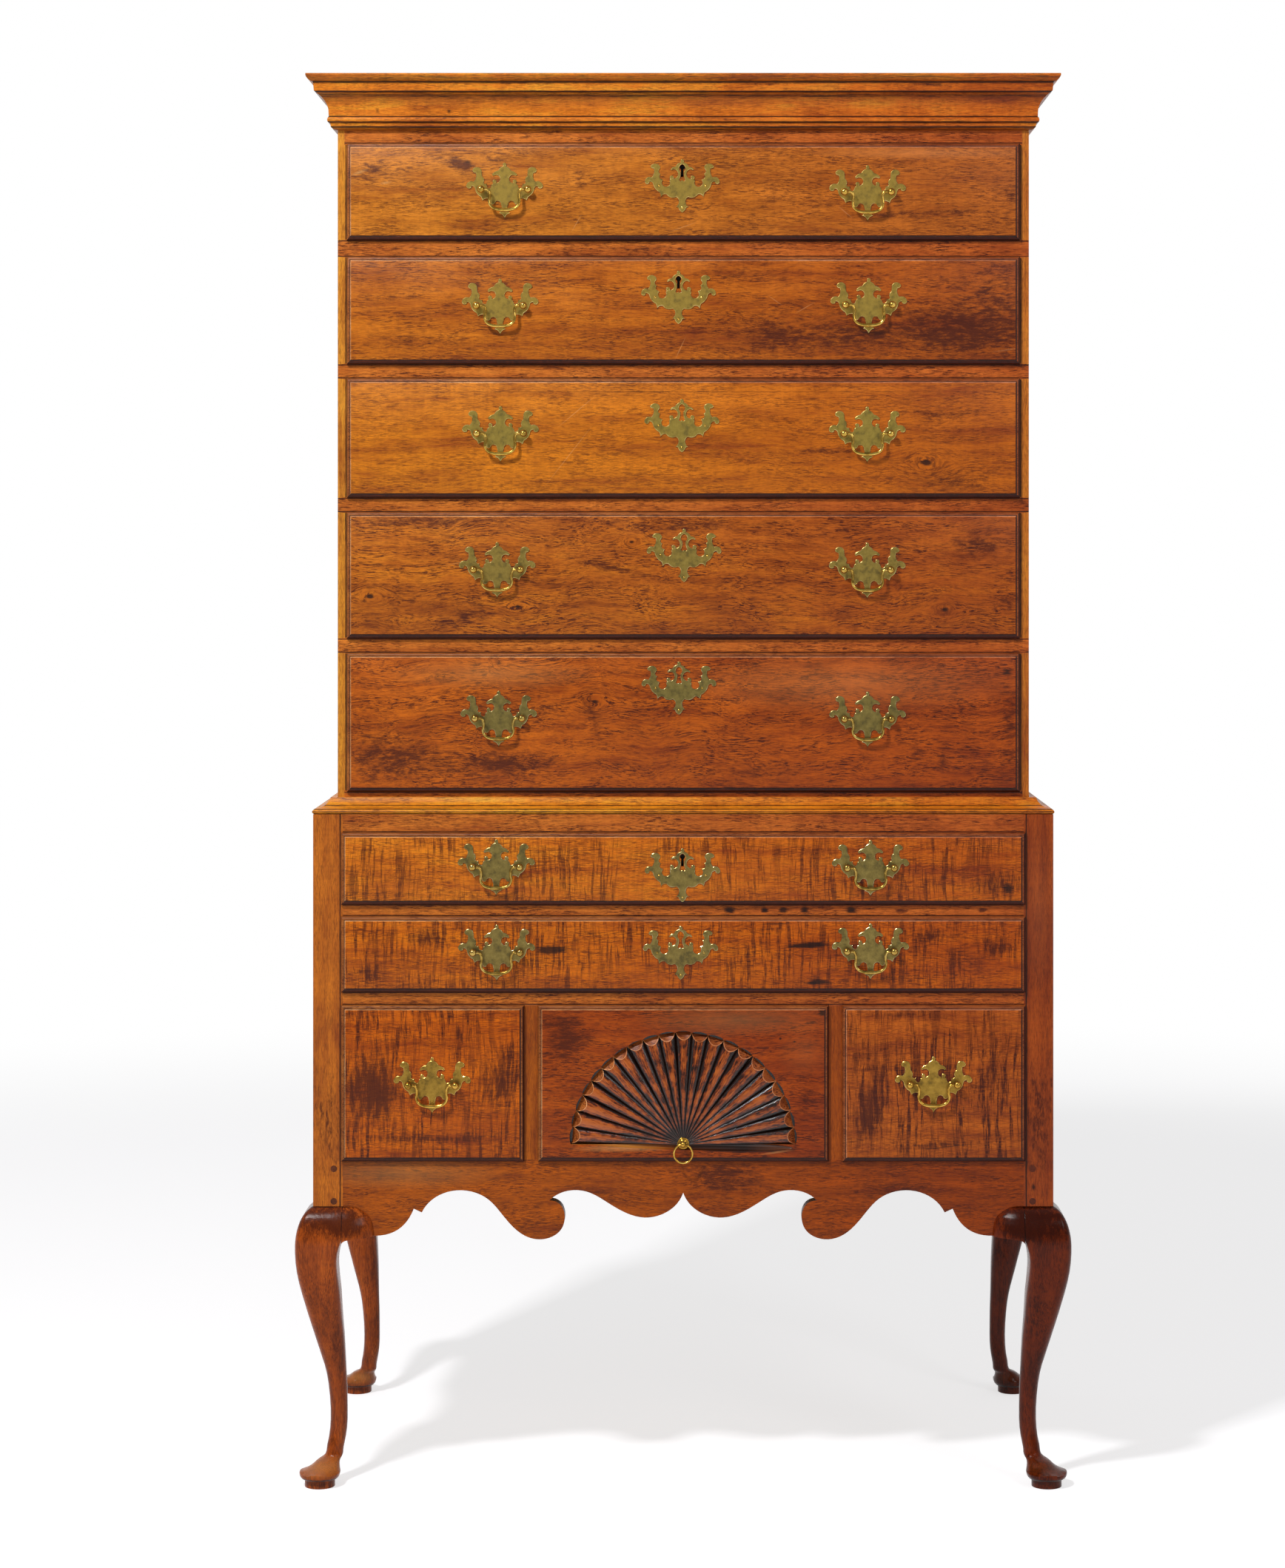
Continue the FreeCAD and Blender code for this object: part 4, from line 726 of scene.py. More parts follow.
# %% Finishes of the apron, legs, pegs and lips
apron_maple = maple("maple, apron", ("#D1660D", "#AD5408", "#6F2708"), wave=9, wild=0.35,
                    stain=0.06, right="#DCC0D0",
                    stains=((60, 405, 120, 14, 0, 0.6), (300, 400, 70, 16, 0, 0.6),
                            (-130, 398, 60, 8, 0, 0.6), (50, 424, 90, 20, 0, 0.8)),
                    rubs=((-380, 424, 150, 24, 0, 0.22),),
                    dirt_and_shade=((-300, 427, 7, 3, 0, 0.5), (188, 404, 60, 2, -3, 0.3)))
# its strong right tint is painted shade, which makes the right-hand legs much darker
leg_maple = maple("maple, dark leg varnish", ("#CE661E", "#A84C14", "#5A270C"), "z", wave=5,
                  wild=0.25, stain=0.08, gloss=0.2, right="#A88C84", shine=0.15,
                  stains=((-485, 366, 90, 30, 0, 1.0), (485, 362, 90, 44, 0, 1.0),
                          (-455, 352, 34, 26, 0, 0.7), (455, 352, 34, 26, 0, 0.7),
                          (-470, 190, 14, 50, 0, 0.5), (476, 240, 24, 70, 0, 0.5),
                          (-480, 6, 60, 12, 0, 0.6), (480, 20, 60, 40, 0, 0.5)),
                  dirt_and_shade=((-485, 379, 70, 3, 0, 0.6), (485, 379, 70, 3, 0, 0.6),
                        (-460, 362, 1.2, 60, 0, 0.6), (460, 362, 1.2, 60, 0, 0.6),
                        (0, 12.5, ENDLESS, 2, 0, 0.7)),
                  rubs=((-490, 27, 60, 14, 0, 0.32), (480, 27, 60, 10, 0, 0.15),
                        (-440, 60, 30, 30, 0, 0.2)))
peg_maple = maple("maple, end grain of the pegs", ("#7A4526", "#633218", "#3E1C0E"), "y",
                  wave=2, wild=0.3)
lip_maple = maple("maple, lip moulding", ("#BC7430", "#9C5824", "#6E3618"), wave=3, wild=0.4)
# the lip's underside and right side, and the apron's edges: painted shade, with some dirt
shaded_lip = maple("maple, lip moulding, shaded and dirty side", ("#4A1F0C", "#331207", "#1F0A04"), wave=3,
                   wild=0.5)
print(len(bpy.data.materials), "finishes so far")

# %% [markdown]
# ## Wood that was never finished, and dirt and shade
#
# Inside, the makers used white pine and left it bare. It has browned, and its growth rings show
# as broad wavy bands. In every quirk and under every lip lies a dull near-black: partly two
# centuries of wax and soot, partly painted shade in the recess.

# %% Bare wood and grime
def bare_pine(name, grain, pale="#C9A06A", deep="#9A6F42"):
    """Unvarnished softwood: broad growth rings, fine fibres, dull all over."""
    material = new_finish(name)
    point = point_in_mm(material)
    rings = mottling(material, point, along_grain(grain, 300, 45), 2.0, 0.5, 0.2, 0.8)
    rings = add(material, "Math", {0: rings, 1: 9.0}, operation="MULTIPLY")
    rings = add(material, "Math", {0: rings}, operation="FRACT")
    fibres = mottling(material, point, along_grain(grain, 40, 1.1), 4.0, 0.65)
    clouds = mottling(material, point, (1 / 130,) * 3, 3.0, 0.6)
    tone = summed(material, 0.0, (rings, 0.3), (fibres, 0.35), (clouds, 0.35))
    body = add(material, "ValToRGB", {"Fac": tone}, out="Color",
               stops=((0.15, pale), (0.85, deep)))
    relief = add(material, "Bump", {"Height": fibres, "Strength": 0.4, "Distance": 0.0004},
                 out="Normal")
    return surface(material, {"Base Color": body, "Roughness": 0.75, "Normal": relief,
                              "IOR": 1.45})


def black_grime_and_shade():
    """Wax and soot with painted shade: nearly black, crumbly, with brown where it has flaked."""
    material = new_finish("wax, soot and painted shade in the quirks")
    crumbs = mottling(material, point_in_mm(material), (1 / 12, 1 / 2, 1 / 2), 4.0, 0.65)
    tone = add(material, "ValToRGB", {"Fac": crumbs}, out="Color",
               stops=((0.2, "#170A06"), (0.7, "#2E150C"), (0.95, "#5A2E18")))
    return surface(material, {"Base Color": tone, "Roughness": 0.6, "IOR": 1.45})


pine_across = bare_pine("white pine, level grain", "x")
pine_upright = bare_pine("white pine, upright grain", "z", "#B58E5E", "#83603C")
pine_deep = bare_pine("white pine, front to back grain", "y")
raw_maple = bare_pine("maple, unfinished inside", "x", "#C49A66", "#A37746")
grime_and_shade = black_grime_and_shade()
print("bare wood ready,", len(bpy.data.materials), "finishes in all")

# %% [markdown]
# ## Lipped drawer fronts
#
# Each front is one maple board. Its edge is run with a thumbnail moulding: a small step down
# from the face, then a quarter round. The moulded lip laps over the opening and a thicker
# block behind it fits inside. The shape is the one a plane and a rebate leave, so it is made
# the same way: the box of the lip has its front edges rounded, the flat left inside them is
# inset and raised by the step, and the back is drawn out into the block. Holes for a lock are
# cut last.

# %% Sizes of the fronts and their locks
LIP_OUT = 8
THUMB_ROUND = 4.4
THUMB_STEP = 0.9
STEP_LEDGE = 0.9
FIELD_EDGE = 1
KEYHOLE_ROUND = 3.4
KEYHOLE_DROP = 13
LOCK_WIDE = 56
LOCK_HIGH = 40
LOCK_DEEP = 10
# middle of the round part of each keyhole that has a lock behind it
KEYHOLES = {"top_drawer": (-1.5, 1785.8), "second_drawer": (-6.5, 1634.3),
            "sixth_drawer": (-1, 852.5)}
DRAWERS = ("top_drawer", "second_drawer", "third_drawer", "fourth_drawer", "fifth_drawer",
           "sixth_drawer", "seventh_drawer", "left_small_drawer", "fan_drawer",
           "right_small_drawer")
print(len(DRAWERS), "drawers,", len(KEYHOLES), "with a lock")

# %% Shape a lipped front
def box_around(points):
    """Lowest and highest corners of a set of points."""
    return (Vector(min(point[axis] for point in points) for axis in range(3)),
            Vector(max(point[axis] for point in points) for axis in range(3)))


def lipped_front(name):
    """The moulded board of one drawer, with its block behind."""
    low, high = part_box(name + "_front")
    rail_plane = low.y + LIP_OUT * MM
    behind = [vertex.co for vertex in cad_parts[name + "_front"].data.vertices
              if vertex.co.y > rail_plane + MM]
    block_low, block_high = box_around(behind)
    board = rough_block(name + "_lipped_front", low + mm(0, THUMB_STEP, 0),
                        Vector((high.x, rail_plane, high.z)))
    middle_x = (low.x + high.x) / 2

    def flat_of_face(face):
        return face.normal.y < -0.99 and abs(face.calc_center_median().x - middle_x) < MM \
            and face.calc_area() > 0.5 * (high.x - low.x) * (high.z - low.z)

    pick(board, flat_of_face)
    bpy.ops.mesh.bevel(offset=THUMB_ROUND * MM, segments=7, profile=0.5)
    pick(board, flat_of_face)
    bpy.ops.mesh.inset(thickness=STEP_LEDGE * MM)
    pick(board, flat_of_face)
    bpy.ops.mesh.extrude_region_move(TRANSFORM_OT_translate={"value": mm(0, -THUMB_STEP, 0)})
    pick(board, flat_of_face)
    bpy.ops.mesh.bevel(offset=FIELD_EDGE * MM, segments=2)

    pick(board, lambda face: face.normal.y > 0.9)
    bpy.ops.mesh.extrude_region_move(TRANSFORM_OT_translate={"value": (0, 0, 0)})
    shrink = Vector(((block_high.x - block_low.x) / (high.x - low.x), 1,
                     (block_high.z - block_low.z) / (high.z - low.z)))
    bpy.ops.transform.resize(value=shrink)
    bpy.ops.mesh.extrude_region_move(
        TRANSFORM_OT_translate={"value": (0, block_high.y - rail_plane, 0)})
    bpy.ops.object.mode_set(mode="OBJECT")
    if name in KEYHOLES:
        bore_keyhole(board, *KEYHOLES[name], block_high)
    soft_edges(board, 30)
    return board


print("a front's lip is", LIP_OUT, "mm thick")

# %% Bore for the locks and make all ten
def bore_keyhole(board, x, z, block_high):
    """The mortise for the lock, cut from behind, then a round hole with a slot below it."""
    centre, top = x * MM, block_high.z
    half_lock, half_slot = LOCK_WIDE / 2 * MM, KEYHOLE_ROUND / 2 * MM
    behind = block_high.y + MM
    before = behind - 30 * MM
    cut_away(board, rough_block(
        "mortise", Vector((centre - half_lock, block_high.y - LOCK_DEEP * MM,
                           top - LOCK_HIGH * MM)), Vector((centre + half_lock, behind, top + MM))))
    cut_away(board, rough_block(
        "keyhole slot", Vector((centre - half_slot, before, (z - KEYHOLE_DROP) * MM)),
        Vector((centre + half_slot, behind, z * MM))))
    clear_bench()
    bpy.ops.mesh.primitive_cylinder_add(vertices=32, radius=KEYHOLE_ROUND * MM,
                                        depth=behind - before, rotation=(math.pi / 2, 0, 0),
                                        location=(centre, (before + behind) / 2, z * MM))
    cut_away(board, settle("keyhole drill"))


fronts = {name: lipped_front(name) for name in DRAWERS}
print(len(fronts), "fronts,", sum(len(board.data.polygons) for board in fronts.values()),
      "faces")

# %% [markdown]
# ## The carved fan
#
# The fan is cut into the solid board, not laid on it. The carver sinks a scalloped half circle,
# leaves twenty-one rays standing in it like slim half cones whose tops are level with the
# board, and ends each one with a slanting thumbnail cut. Below the fan a long shallow hollow
# runs out to the surface. Here the half circle is sunk first, and one ray is made from a cone:
# squashed, cut off on the slant, its new edge broken, and its back sliced off. Twenty turned
# copies follow, each a little different, as hand work is.

# %% Sunk half circle and the hollow under it
FAN_BASE = 464
FAN_RIM = 151.3
SCALLOP = 2.4
FAN_RAYS = 21
FAN_SUNK = 7
CREST_SUNK = 0.5
HOLLOW = (148, 5.4, 7)
HOLLOW_LEAN = 1.7
HOLLOW_FOOT = 10
fan_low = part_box("fan_drawer_front")[0]
fan_middle = Vector((0, fan_low.y, FAN_BASE * MM))


def fan_ground(board):
    clear_bench()
    bpy.ops.mesh.primitive_circle_add(vertices=FAN_RAYS * 2 * 10, radius=FAN_RIM * MM,
                                      fill_type="NGON", rotation=(math.pi / 2, 0, 0),
                                      location=fan_middle - mm(0, 1, 0))
    sunk = settle("sunk half circle")
    for vertex in sunk.data.vertices:
        across = vertex.co - fan_middle
        along_rim = math.atan2(across.z, across.x) / math.pi * FAN_RAYS % 1
        out = 1 + SCALLOP / FAN_RIM * (1 - abs(2 * along_rim - 1) ** 2.2)
        vertex.co = fan_middle + Vector((across.x * out, across.y, across.z * out))
    bpy.ops.object.mode_set(mode="EDIT")
    bpy.ops.mesh.select_all(action="SELECT")
    bpy.ops.mesh.bisect(plane_co=fan_middle, plane_no=(0, 0, 1), clear_inner=True)
    bpy.ops.mesh.select_all(action="SELECT")
    bpy.ops.mesh.extrude_region_move(TRANSFORM_OT_translate={"value": mm(0, FAN_SUNK + 1, 0)})
    bpy.ops.mesh.select_all(action="SELECT")
    bpy.ops.mesh.normals_make_consistent(inside=False)
    cut_away(board, sunk)
    clear_bench()
    bpy.ops.mesh.primitive_uv_sphere_add(segments=96, ring_count=48, radius=1,
                                         location=fan_middle)
    bpy.context.object.scale = mm(*HOLLOW)
    bpy.context.object.rotation_euler.y = math.radians(HOLLOW_LEAN)
    cut_away(board, settle("hollow gouge"))
    soft_edges(board, 30)


fan_ground(fronts["fan_drawer"])
print("fan ground", len(fronts["fan_drawer"].data.polygons), "faces")

# %% [markdown]
# ## The fan's own finishes
#
# Two centuries of polishing have rubbed the crests of the rays back to bare orange wood, while
# the valleys between them are nearly black: partly wax that has filled them, partly painted
# shade in the deep grooves. So the colour follows how deep a point lies under the crests,
# against how deep the valley is at that distance from the middle.
# Streaks along each ray make the worn edge ragged. Shiny old wax gives the rays the strongest
# gloss on the chest.

# %% Finish of the rays
VALLEY_SLOPE = 0.0367
HUB_EDGE, HUB_DARKEST = 30, 8


def carved_ray_maple():
    """Rays: their crests are rubbed back to orange, the valleys between are nearly black."""
    material = new_finish("maple, carved rays")
    point = point_in_mm(material)
    centred = add(material, "VectorMath", {0: point, 1: (0, fan_low.y / MM + CREST_SUNK,
                                                         FAN_BASE)}, operation="SUBTRACT")
    sideways, below, upward = [add(material, "SeparateXYZ", {0: centred}, out=axis)
                               for axis in "XYZ"]
    flat = add(material, "VectorMath", {0: centred, 1: (1, 0, 1)}, operation="MULTIPLY")
    reach = add(material, "VectorMath", {0: flat}, out="Value", operation="LENGTH")
    valley = add(material, "Math", {0: reach, 1: VALLEY_SLOPE}, operation="MULTIPLY")
    depth = add(material, "Math", {0: below, 1: valley}, operation="DIVIDE")
    bearing = add(material, "Math", {0: upward, 1: sideways}, operation="ARCTAN2")
    streak = add(material, "CombineXYZ", {0: reach, 1: bearing})
    ragged = mottling(material, streak, (1 / 14, 60, 1), 5.0, 0.7, 0.36, 0.64)
    blotch = mottling(material, point, (1 / 34, 1 / 34, 1 / 24), 4.0, 0.65)
    #     the lower rays on the left are lighter, partly worn most and partly painted light from
    #     the upper left, and near the ring everything is dark
    hub = add(material, "MapRange", {"Value": reach, "From Min": HUB_EDGE,
                                     "From Max": HUB_DARKEST, "To Max": 0.4})
    left = add(material, "MapRange", {"Value": sideways, "From Min": -150, "From Max": -50,
                                      "To Min": -0.22, "To Max": 0.0})
    # the deeper a point, the darker: partly black wax, partly painted shade in the grooves
    wear_and_shade = summed(material, depth, (ragged, -0.5), (blotch, -0.5), (hub, 1), (left, 1))
    wear_and_shade = add(material, "MapRange", {"Value": wear_and_shade, "From Min": -0.7, "From Max": 0.12})
    body = add(material, "ValToRGB", {"Fac": wear_and_shade}, out="Color",
               stops=((0.0, "#B65C1C"), (0.24, "#9A4611"), (0.42, "#6A2A0B"),
                      (0.56, "#321307"), (0.8, "#1C0C06")))
    relief = add(material, "Bump", {"Height": ragged, "Strength": 0.35, "Distance": 0.0004},
                 out="Normal")
    return surface(material, {"Base Color": body, "Roughness": summed(material, 0.1,
                                                                      (ragged, 0.12)),
                              "Normal": relief, "IOR": 1.5, "Specular IOR Level": 0.5})


ray_maple = carved_ray_maple()
# pale arris: wear on the rays' thumbnails, a painted highlight on the top and left edges of the
# flats
worn_and_highlit_edge = maple("maple, worn arris and painted highlight", ("#FFC88C", "#EDA062", "#B8703A"), wave=3, wild=0.2)
nail_maple = maple("maple, thumbnail cuts", ("#D07A34", "#AE5E26", "#6A3014"), wave=4, wild=0.5)
print("a valley is", round(VALLEY_SLOPE * FAN_RIM, 1), "mm deep at the rim")

# %% Finish of the hollow under the fan
def painted_light_hollow():
    """The long hollow under the fan: painted light at its left, painted shadow at its right."""
    material = new_finish("maple, hollow with painted light and shadow")
    point = point_in_mm(material)
    fibres = mottling(material, point, (1 / 30, 1 / 3, 1 / 1.2), 4.0, 0.65)
    across = add(material, "SeparateXYZ", {0: point}, out="X")
    across = add(material, "MapRange", {"Value": summed(material, across, (fibres, 30)),
                                        "From Min": -150, "From Max": 160})
    # pale at the left as painted light, near black at the right as painted shadow of the ring and
    # fan
    body = add(material, "ValToRGB", {"Fac": across}, out="Color",
               stops=((0.02, "#9A4C1A"), (0.3, "#B8742E"), (0.46, "#8C4818"),
                      (0.56, "#42200F"), (0.8, "#1D0D08"), (0.97, "#5A3018")))
    return surface(material, {"Base Color": body, "Roughness": 0.24, "IOR": 1.5,
                              "Specular IOR Level": 0.4})


painted_hollow_finish = painted_light_hollow()
print("fan finishes ready")

# %% [markdown]
# ## Half cones for rays
#
# One ray is made, and the rest are its copies. It starts as a slim cone lying on the board.
# Its crest has to stay level with the board while its sides fall away, so each end is lowered
# by its own half thickness. A slanting cut takes the tip off, and two insets break the cut's
# edge and sink the thumbnail.

# %% One ray, then twenty-one
RAY_SPREAD = math.pi / FAN_RAYS
RAY_START, RAY_END = 3, 158
RAY_FULLNESS = 1.07
RAY_FLATNESS = 0.69
THUMBNAIL_START = 140.5
THUMBNAIL_SLOPE = 0.54
ARRIS_WIDE, ARRIS_RAISED = 0.9, 0.1
NAIL_EDGE, NAIL_DEEP = 2, 0.7
WORN_EDGE, THUMBNAIL = 1, 2


def mark(number):
    """Gives the selected faces a material number."""
    bpy.context.object.active_material_index = number
    bpy.ops.object.material_slot_assign()


def fan_ray():
    """A ray lying along X from the fan's middle, its crest just under the board's face."""
    start_half, end_half = [RAY_FULLNESS * math.tan(RAY_SPREAD / 2) * reach * MM
                            for reach in (RAY_START, RAY_END)]
    clear_bench()
    bpy.ops.mesh.primitive_cone_add(
        vertices=48, radius1=start_half, radius2=end_half,
        depth=(RAY_END - RAY_START) * MM, rotation=(0, math.pi / 2, 0),
        location=mm((RAY_START + RAY_END) / 2, CREST_SUNK, 0))
    bpy.context.object.scale = (1, RAY_FLATNESS, 1)
    ray = settle("fan_ray")
    for material in (ray_maple, worn_and_highlit_edge, nail_maple):
        ray.data.materials.append(material)
    # each end goes down by its own half thickness, so that the crest stays level
    middle = (RAY_START + RAY_END) / 2 * MM
    for nearer, half in ((True, start_half), (False, end_half)):
        pick(ray, lambda edge: all((vertex.co.x < middle) == nearer for vertex in edge.verts),
             "EDGE")
        bpy.ops.transform.translate(value=(0, half * RAY_FLATNESS, 0))
    bpy.ops.mesh.select_all(action="SELECT")
    bpy.ops.mesh.bisect(plane_co=mm(THUMBNAIL_START, CREST_SUNK, 0),
                        plane_no=(THUMBNAIL_SLOPE, -1, 0), clear_outer=True, use_fill=True)
    pick(ray, lambda face: face.normal.x > 0.3 and face.normal.y < -0.5)
    mark(WORN_EDGE)
    bpy.ops.mesh.inset(thickness=ARRIS_WIDE * MM, depth=ARRIS_RAISED * MM)
    mark(THUMBNAIL)
    bpy.ops.mesh.inset(thickness=NAIL_EDGE * MM, depth=-NAIL_DEEP * MM)
    bpy.ops.mesh.select_all(action="SELECT")
    bpy.ops.mesh.bisect(plane_co=mm(0, FAN_SUNK, 0), plane_no=(0, 1, 0), clear_outer=True,
                        use_fill=True)
    bpy.ops.object.mode_set(mode="OBJECT")
    return ray


def all_rays(ray):
    """Turned copies of a ray, no two quite alike, joined into one piece."""
    random.seed(21)
    rays = []
    for number in range(FAN_RAYS):
        copy = ray.copy()
        copy.data = ray.data.copy()
        bpy.context.collection.objects.link(copy)
        turn = (number + 0.5) * RAY_SPREAD + math.radians(random.uniform(-0.35, 0.35))
        copy.location = fan_middle
        copy.rotation_euler = (0, -turn, 0)
        copy.scale = (random.uniform(0.992, 1.004), random.uniform(0.96, 1.05), 1)
        rays.append(copy)
    bpy.data.objects.remove(ray)
    clear_bench()
    for copy in rays:
        copy.select_set(True)
    bpy.context.view_layer.objects.active = rays[0]
    bpy.ops.object.join()
    return settle("carved_fan_rays")


rays = all_rays(fan_ray())
soft_edges(rays, 32)
print(FAN_RAYS, "rays,", len(rays.data.polygons), "faces")

# %% [markdown]
# ## Cast brass
#
# The pulls are sand-cast brass in three parts. A plate is pierced to the outline of a bat and
# its front edge is filed to a bevel, which catches a bright line of light. Two posts with ball
# heads go through it and the drawer front to nuts inside. A bail hangs between the balls on
# its two turned-in ends. The frame has the outlines already, so each plate is a merged copy of
# the frame's, with its front edge sloped and the heads of its posts made a little fuller. The
# bail is drawn as one curve, thin at the necks and thick at the grip, and hung on every pair
# of posts.

# %% Brass and iron finishes
def brass(name, clean, dull, tarnish, rough, age=1.0):
    """Old brass. It yellows where hands rub it and goes olive, then brown, where they don't."""
    material = new_finish(name)
    point = point_in_mm(material)
    blotches = mottling(material, point, (1 / 9,) * 3, 4.0, 0.6)
    specks = mottling(material, point, (1 / 1.6,) * 3, 2.0, 0.6, 0.55, 0.75)
    specks = summed(material, 0.0, (specks, 0.35 * age))
    tone = add(material, "ValToRGB", {"Fac": blotches}, out="Color",
               stops=((0.1, tarnish), (0.45, dull), (0.95, clean)))
    tone = add(material, "Mix", {"Factor": specks, "A": tone, "B": colour(tarnish)},
               data_type="RGBA")
    #     the brass is greyest on the middle drawers, darker and browner on the small drawers and
    #     brightest at the top
    height = add(material, "SeparateXYZ", {0: point}, out="Z")
    height = add(material, "MapRange", {"Value": height, "From Min": 500, "From Max": 1800})
    greyed = add(material, "ValToRGB", {"Fac": height}, out="Color",
                 stops=((0.08, "#EADED0"), (0.14, "#C8D0F4"), (0.46, "#C5D1F4"),
                        (0.56, "#E3E8F8"), (0.71, "#F3FBFF"), (0.85, "#FFFFFF")))
    tone = add(material, "Mix", {"Factor": age, "A": tone, "B": greyed},
               data_type="RGBA", blend_type="MULTIPLY")
    dents = add(material, "Bump", {"Height": blotches, "Strength": 0.3, "Distance": 0.0002},
                out="Normal")
    return surface(material, {"Base Color": tone, "Metallic": 1.0, "Normal": dents,
                              "Roughness": summed(material, rough + 0.06, (blotches, -0.12))})


plate_brass = brass("cast brass, aged", "#BFA04C", "#A88C42", "#84703A", 0.42)
# the filed edge is paler than the plate: partly cleaner filed metal, partly a painted highlight
bevel_brass = brass("cast brass, filed edge", "#E0C983", "#C2A75C", "#8F7A40", 0.28)
handled_brass = brass("brass, polished by hands", "#E2BE62", "#C89F45", "#8C6D2C", 0.2, 0.6)
dull_brass = brass("brass, never touched", "#7A6736", "#65552C", "#43381F", 0.5)


def lock_iron():
    """Wrought iron: grey, scaled and rusting a little."""
    material = new_finish("wrought iron, old")
    rust = mottling(material, point_in_mm(material), (1 / 5,) * 3, 5.0, 0.65)
    tone = add(material, "ValToRGB", {"Fac": rust}, out="Color",
               stops=((0.3, "#35302C"), (0.6, "#4A3E36"), (0.9, "#6E442C")))
    scale = add(material, "Bump", {"Height": rust, "Strength": 0.5, "Distance": 0.0004},
                out="Normal")
    return surface(material, {"Base Color": tone, "Metallic": 0.7, "Normal": scale,
                              "Roughness": summed(material, 0.45, (rust, 0.3))})


iron = lock_iron()
print("brass and iron mixed")

# %% Plates, posts and locks
PLATE_THICK = 1.5
# how far up a bail's pivot is from its lowest point
BAIL_PIVOT = 29.3
FILED_EDGE = 0.6
FILED_DEEP = 0.4
POST_ASIDE = 31.75
HEAD_REACH = 6
HEAD_SWELL = 1.14
LOCK_REACH = 40
PLATE, FILED, POLISHED, DULL, IRON = range(5)


def merged_copy(node, name):
    """A copy of a frame solid as one closed mesh."""
    clear_bench()
    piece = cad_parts[node].copy()
    piece.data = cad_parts[node].data.copy()
    bpy.context.collection.objects.link(piece)
    piece.name = piece.data.name = name
    piece.select_set(True)
    bpy.context.view_layer.objects.active = piece
    bpy.ops.mesh.customdata_custom_splitnormals_clear()
    bpy.ops.object.mode_set(mode="EDIT")
    bpy.ops.mesh.select_all(action="SELECT")
    bpy.ops.mesh.remove_doubles(threshold=0.004 * MM)
    bpy.ops.object.mode_set(mode="OBJECT")
    return piece


def swell_heads(piece, name, plate_front):
    """Makes the turned heads of a drawer's posts a little fuller, all round."""
    for bail in [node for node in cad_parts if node.startswith(name)
                 and node.endswith("_bail")]:
        low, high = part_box(bail)
        for side in (-1, 1):
            head = Vector(((low.x + high.x) / 2 + side * POST_ASIDE * MM, 0,
                           low.z + BAIL_PIVOT * MM))
            for vertex in piece.data.vertices:
                out = Vector((vertex.co.x - head.x, 0, vertex.co.z - head.z))
                if vertex.co.y < plate_front - MM and out.length < HEAD_REACH * MM:
                    vertex.co += out * (HEAD_SWELL - 1)
    piece.data.update()


def drawer_brass(name):
    """The plates, posts and lock of one drawer, with the plates' front edges filed."""
    piece = merged_copy(name + "_brasses", name + "_cast_brass")
    face_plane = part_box(name + "_front")[0].y
    plate_front = face_plane - PLATE_THICK * MM
    # the face is pushed in, then its flat is inset and brought back, which leaves a slope
    filed = pick(piece, lambda face: face.normal.y < -0.99
                 and abs(face.calc_center_median().y - plate_front) < 0.02 * MM)
    bpy.ops.transform.translate(value=mm(0, FILED_DEEP, 0))
    bpy.ops.mesh.inset(thickness=FILED_EDGE * MM, depth=FILED_DEEP * MM)
    bpy.ops.object.mode_set(mode="OBJECT")
    swell_heads(piece, name, plate_front)
    soft_edges(piece, 20)

    def metal(face):
        place = face.center
        if place.y > face_plane + 0.3 * MM:
            locked = name in KEYHOLES and abs(
                place.x - KEYHOLES[name][0] * MM) < LOCK_REACH * MM
            return IRON if locked else DULL
        if place.y < plate_front - 0.05 * MM:
            return POLISHED
        return FILED if 0.1 < abs(face.normal.y) < 0.97 else PLATE

    finish(piece, name, [plate_brass, bevel_brass, handled_brass, dull_brass, iron],
           metal)
    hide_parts(name + "_brasses")
    return filed


filed = {name: drawer_brass(name) for name in DRAWERS if name != "fan_drawer"}
print("faces filed round:", filed)

# %% Bails
# half of a bail from the middle of its grip to the end of its pin: across, up, half thickness
BAIL_HALF = ((0, -28, 2.45), (10.5, -27.1, 2.3), (17.6, -23.4, 2.1), (20.6, -16.6, 1.95),
             (19.9, -9, 1.85), (20.6, -2.8, 1.8), (23.6, 0, 1.9), (26.7, 0, 2.1),
             (27, 0, 1.2), (31.2, 0, 1.2))


def swan_bail():
    """The bail as one curve between its two pins, made a mesh."""
    line = [(-across, up, half) for across, up, half in reversed(BAIL_HALF[1:])]
    line += list(BAIL_HALF)
    clear_bench()
    bpy.ops.curve.primitive_bezier_curve_add(location=(0, 0, 0))
    bail = bpy.context.object
    points = bail.data.splines[0].bezier_points
    points.add(len(line) - len(points))
    for point, (across, up, half) in zip(points, line):
        point.co = mm(across, 0, up)
        point.radius = half
        point.handle_left_type = point.handle_right_type = "AUTO"
    for number in (0, 1, 2, -1, -2, -3):
        points[number].handle_left_type = points[number].handle_right_type = "VECTOR"
    bail.data.dimensions = "3D"
    bail.data.resolution_u = 8
    bail.data.bevel_depth = MM
    bail.data.bevel_resolution = 5
    bail.data.use_fill_caps = True
    bpy.ops.object.convert(target="MESH")
    return settle("bail")


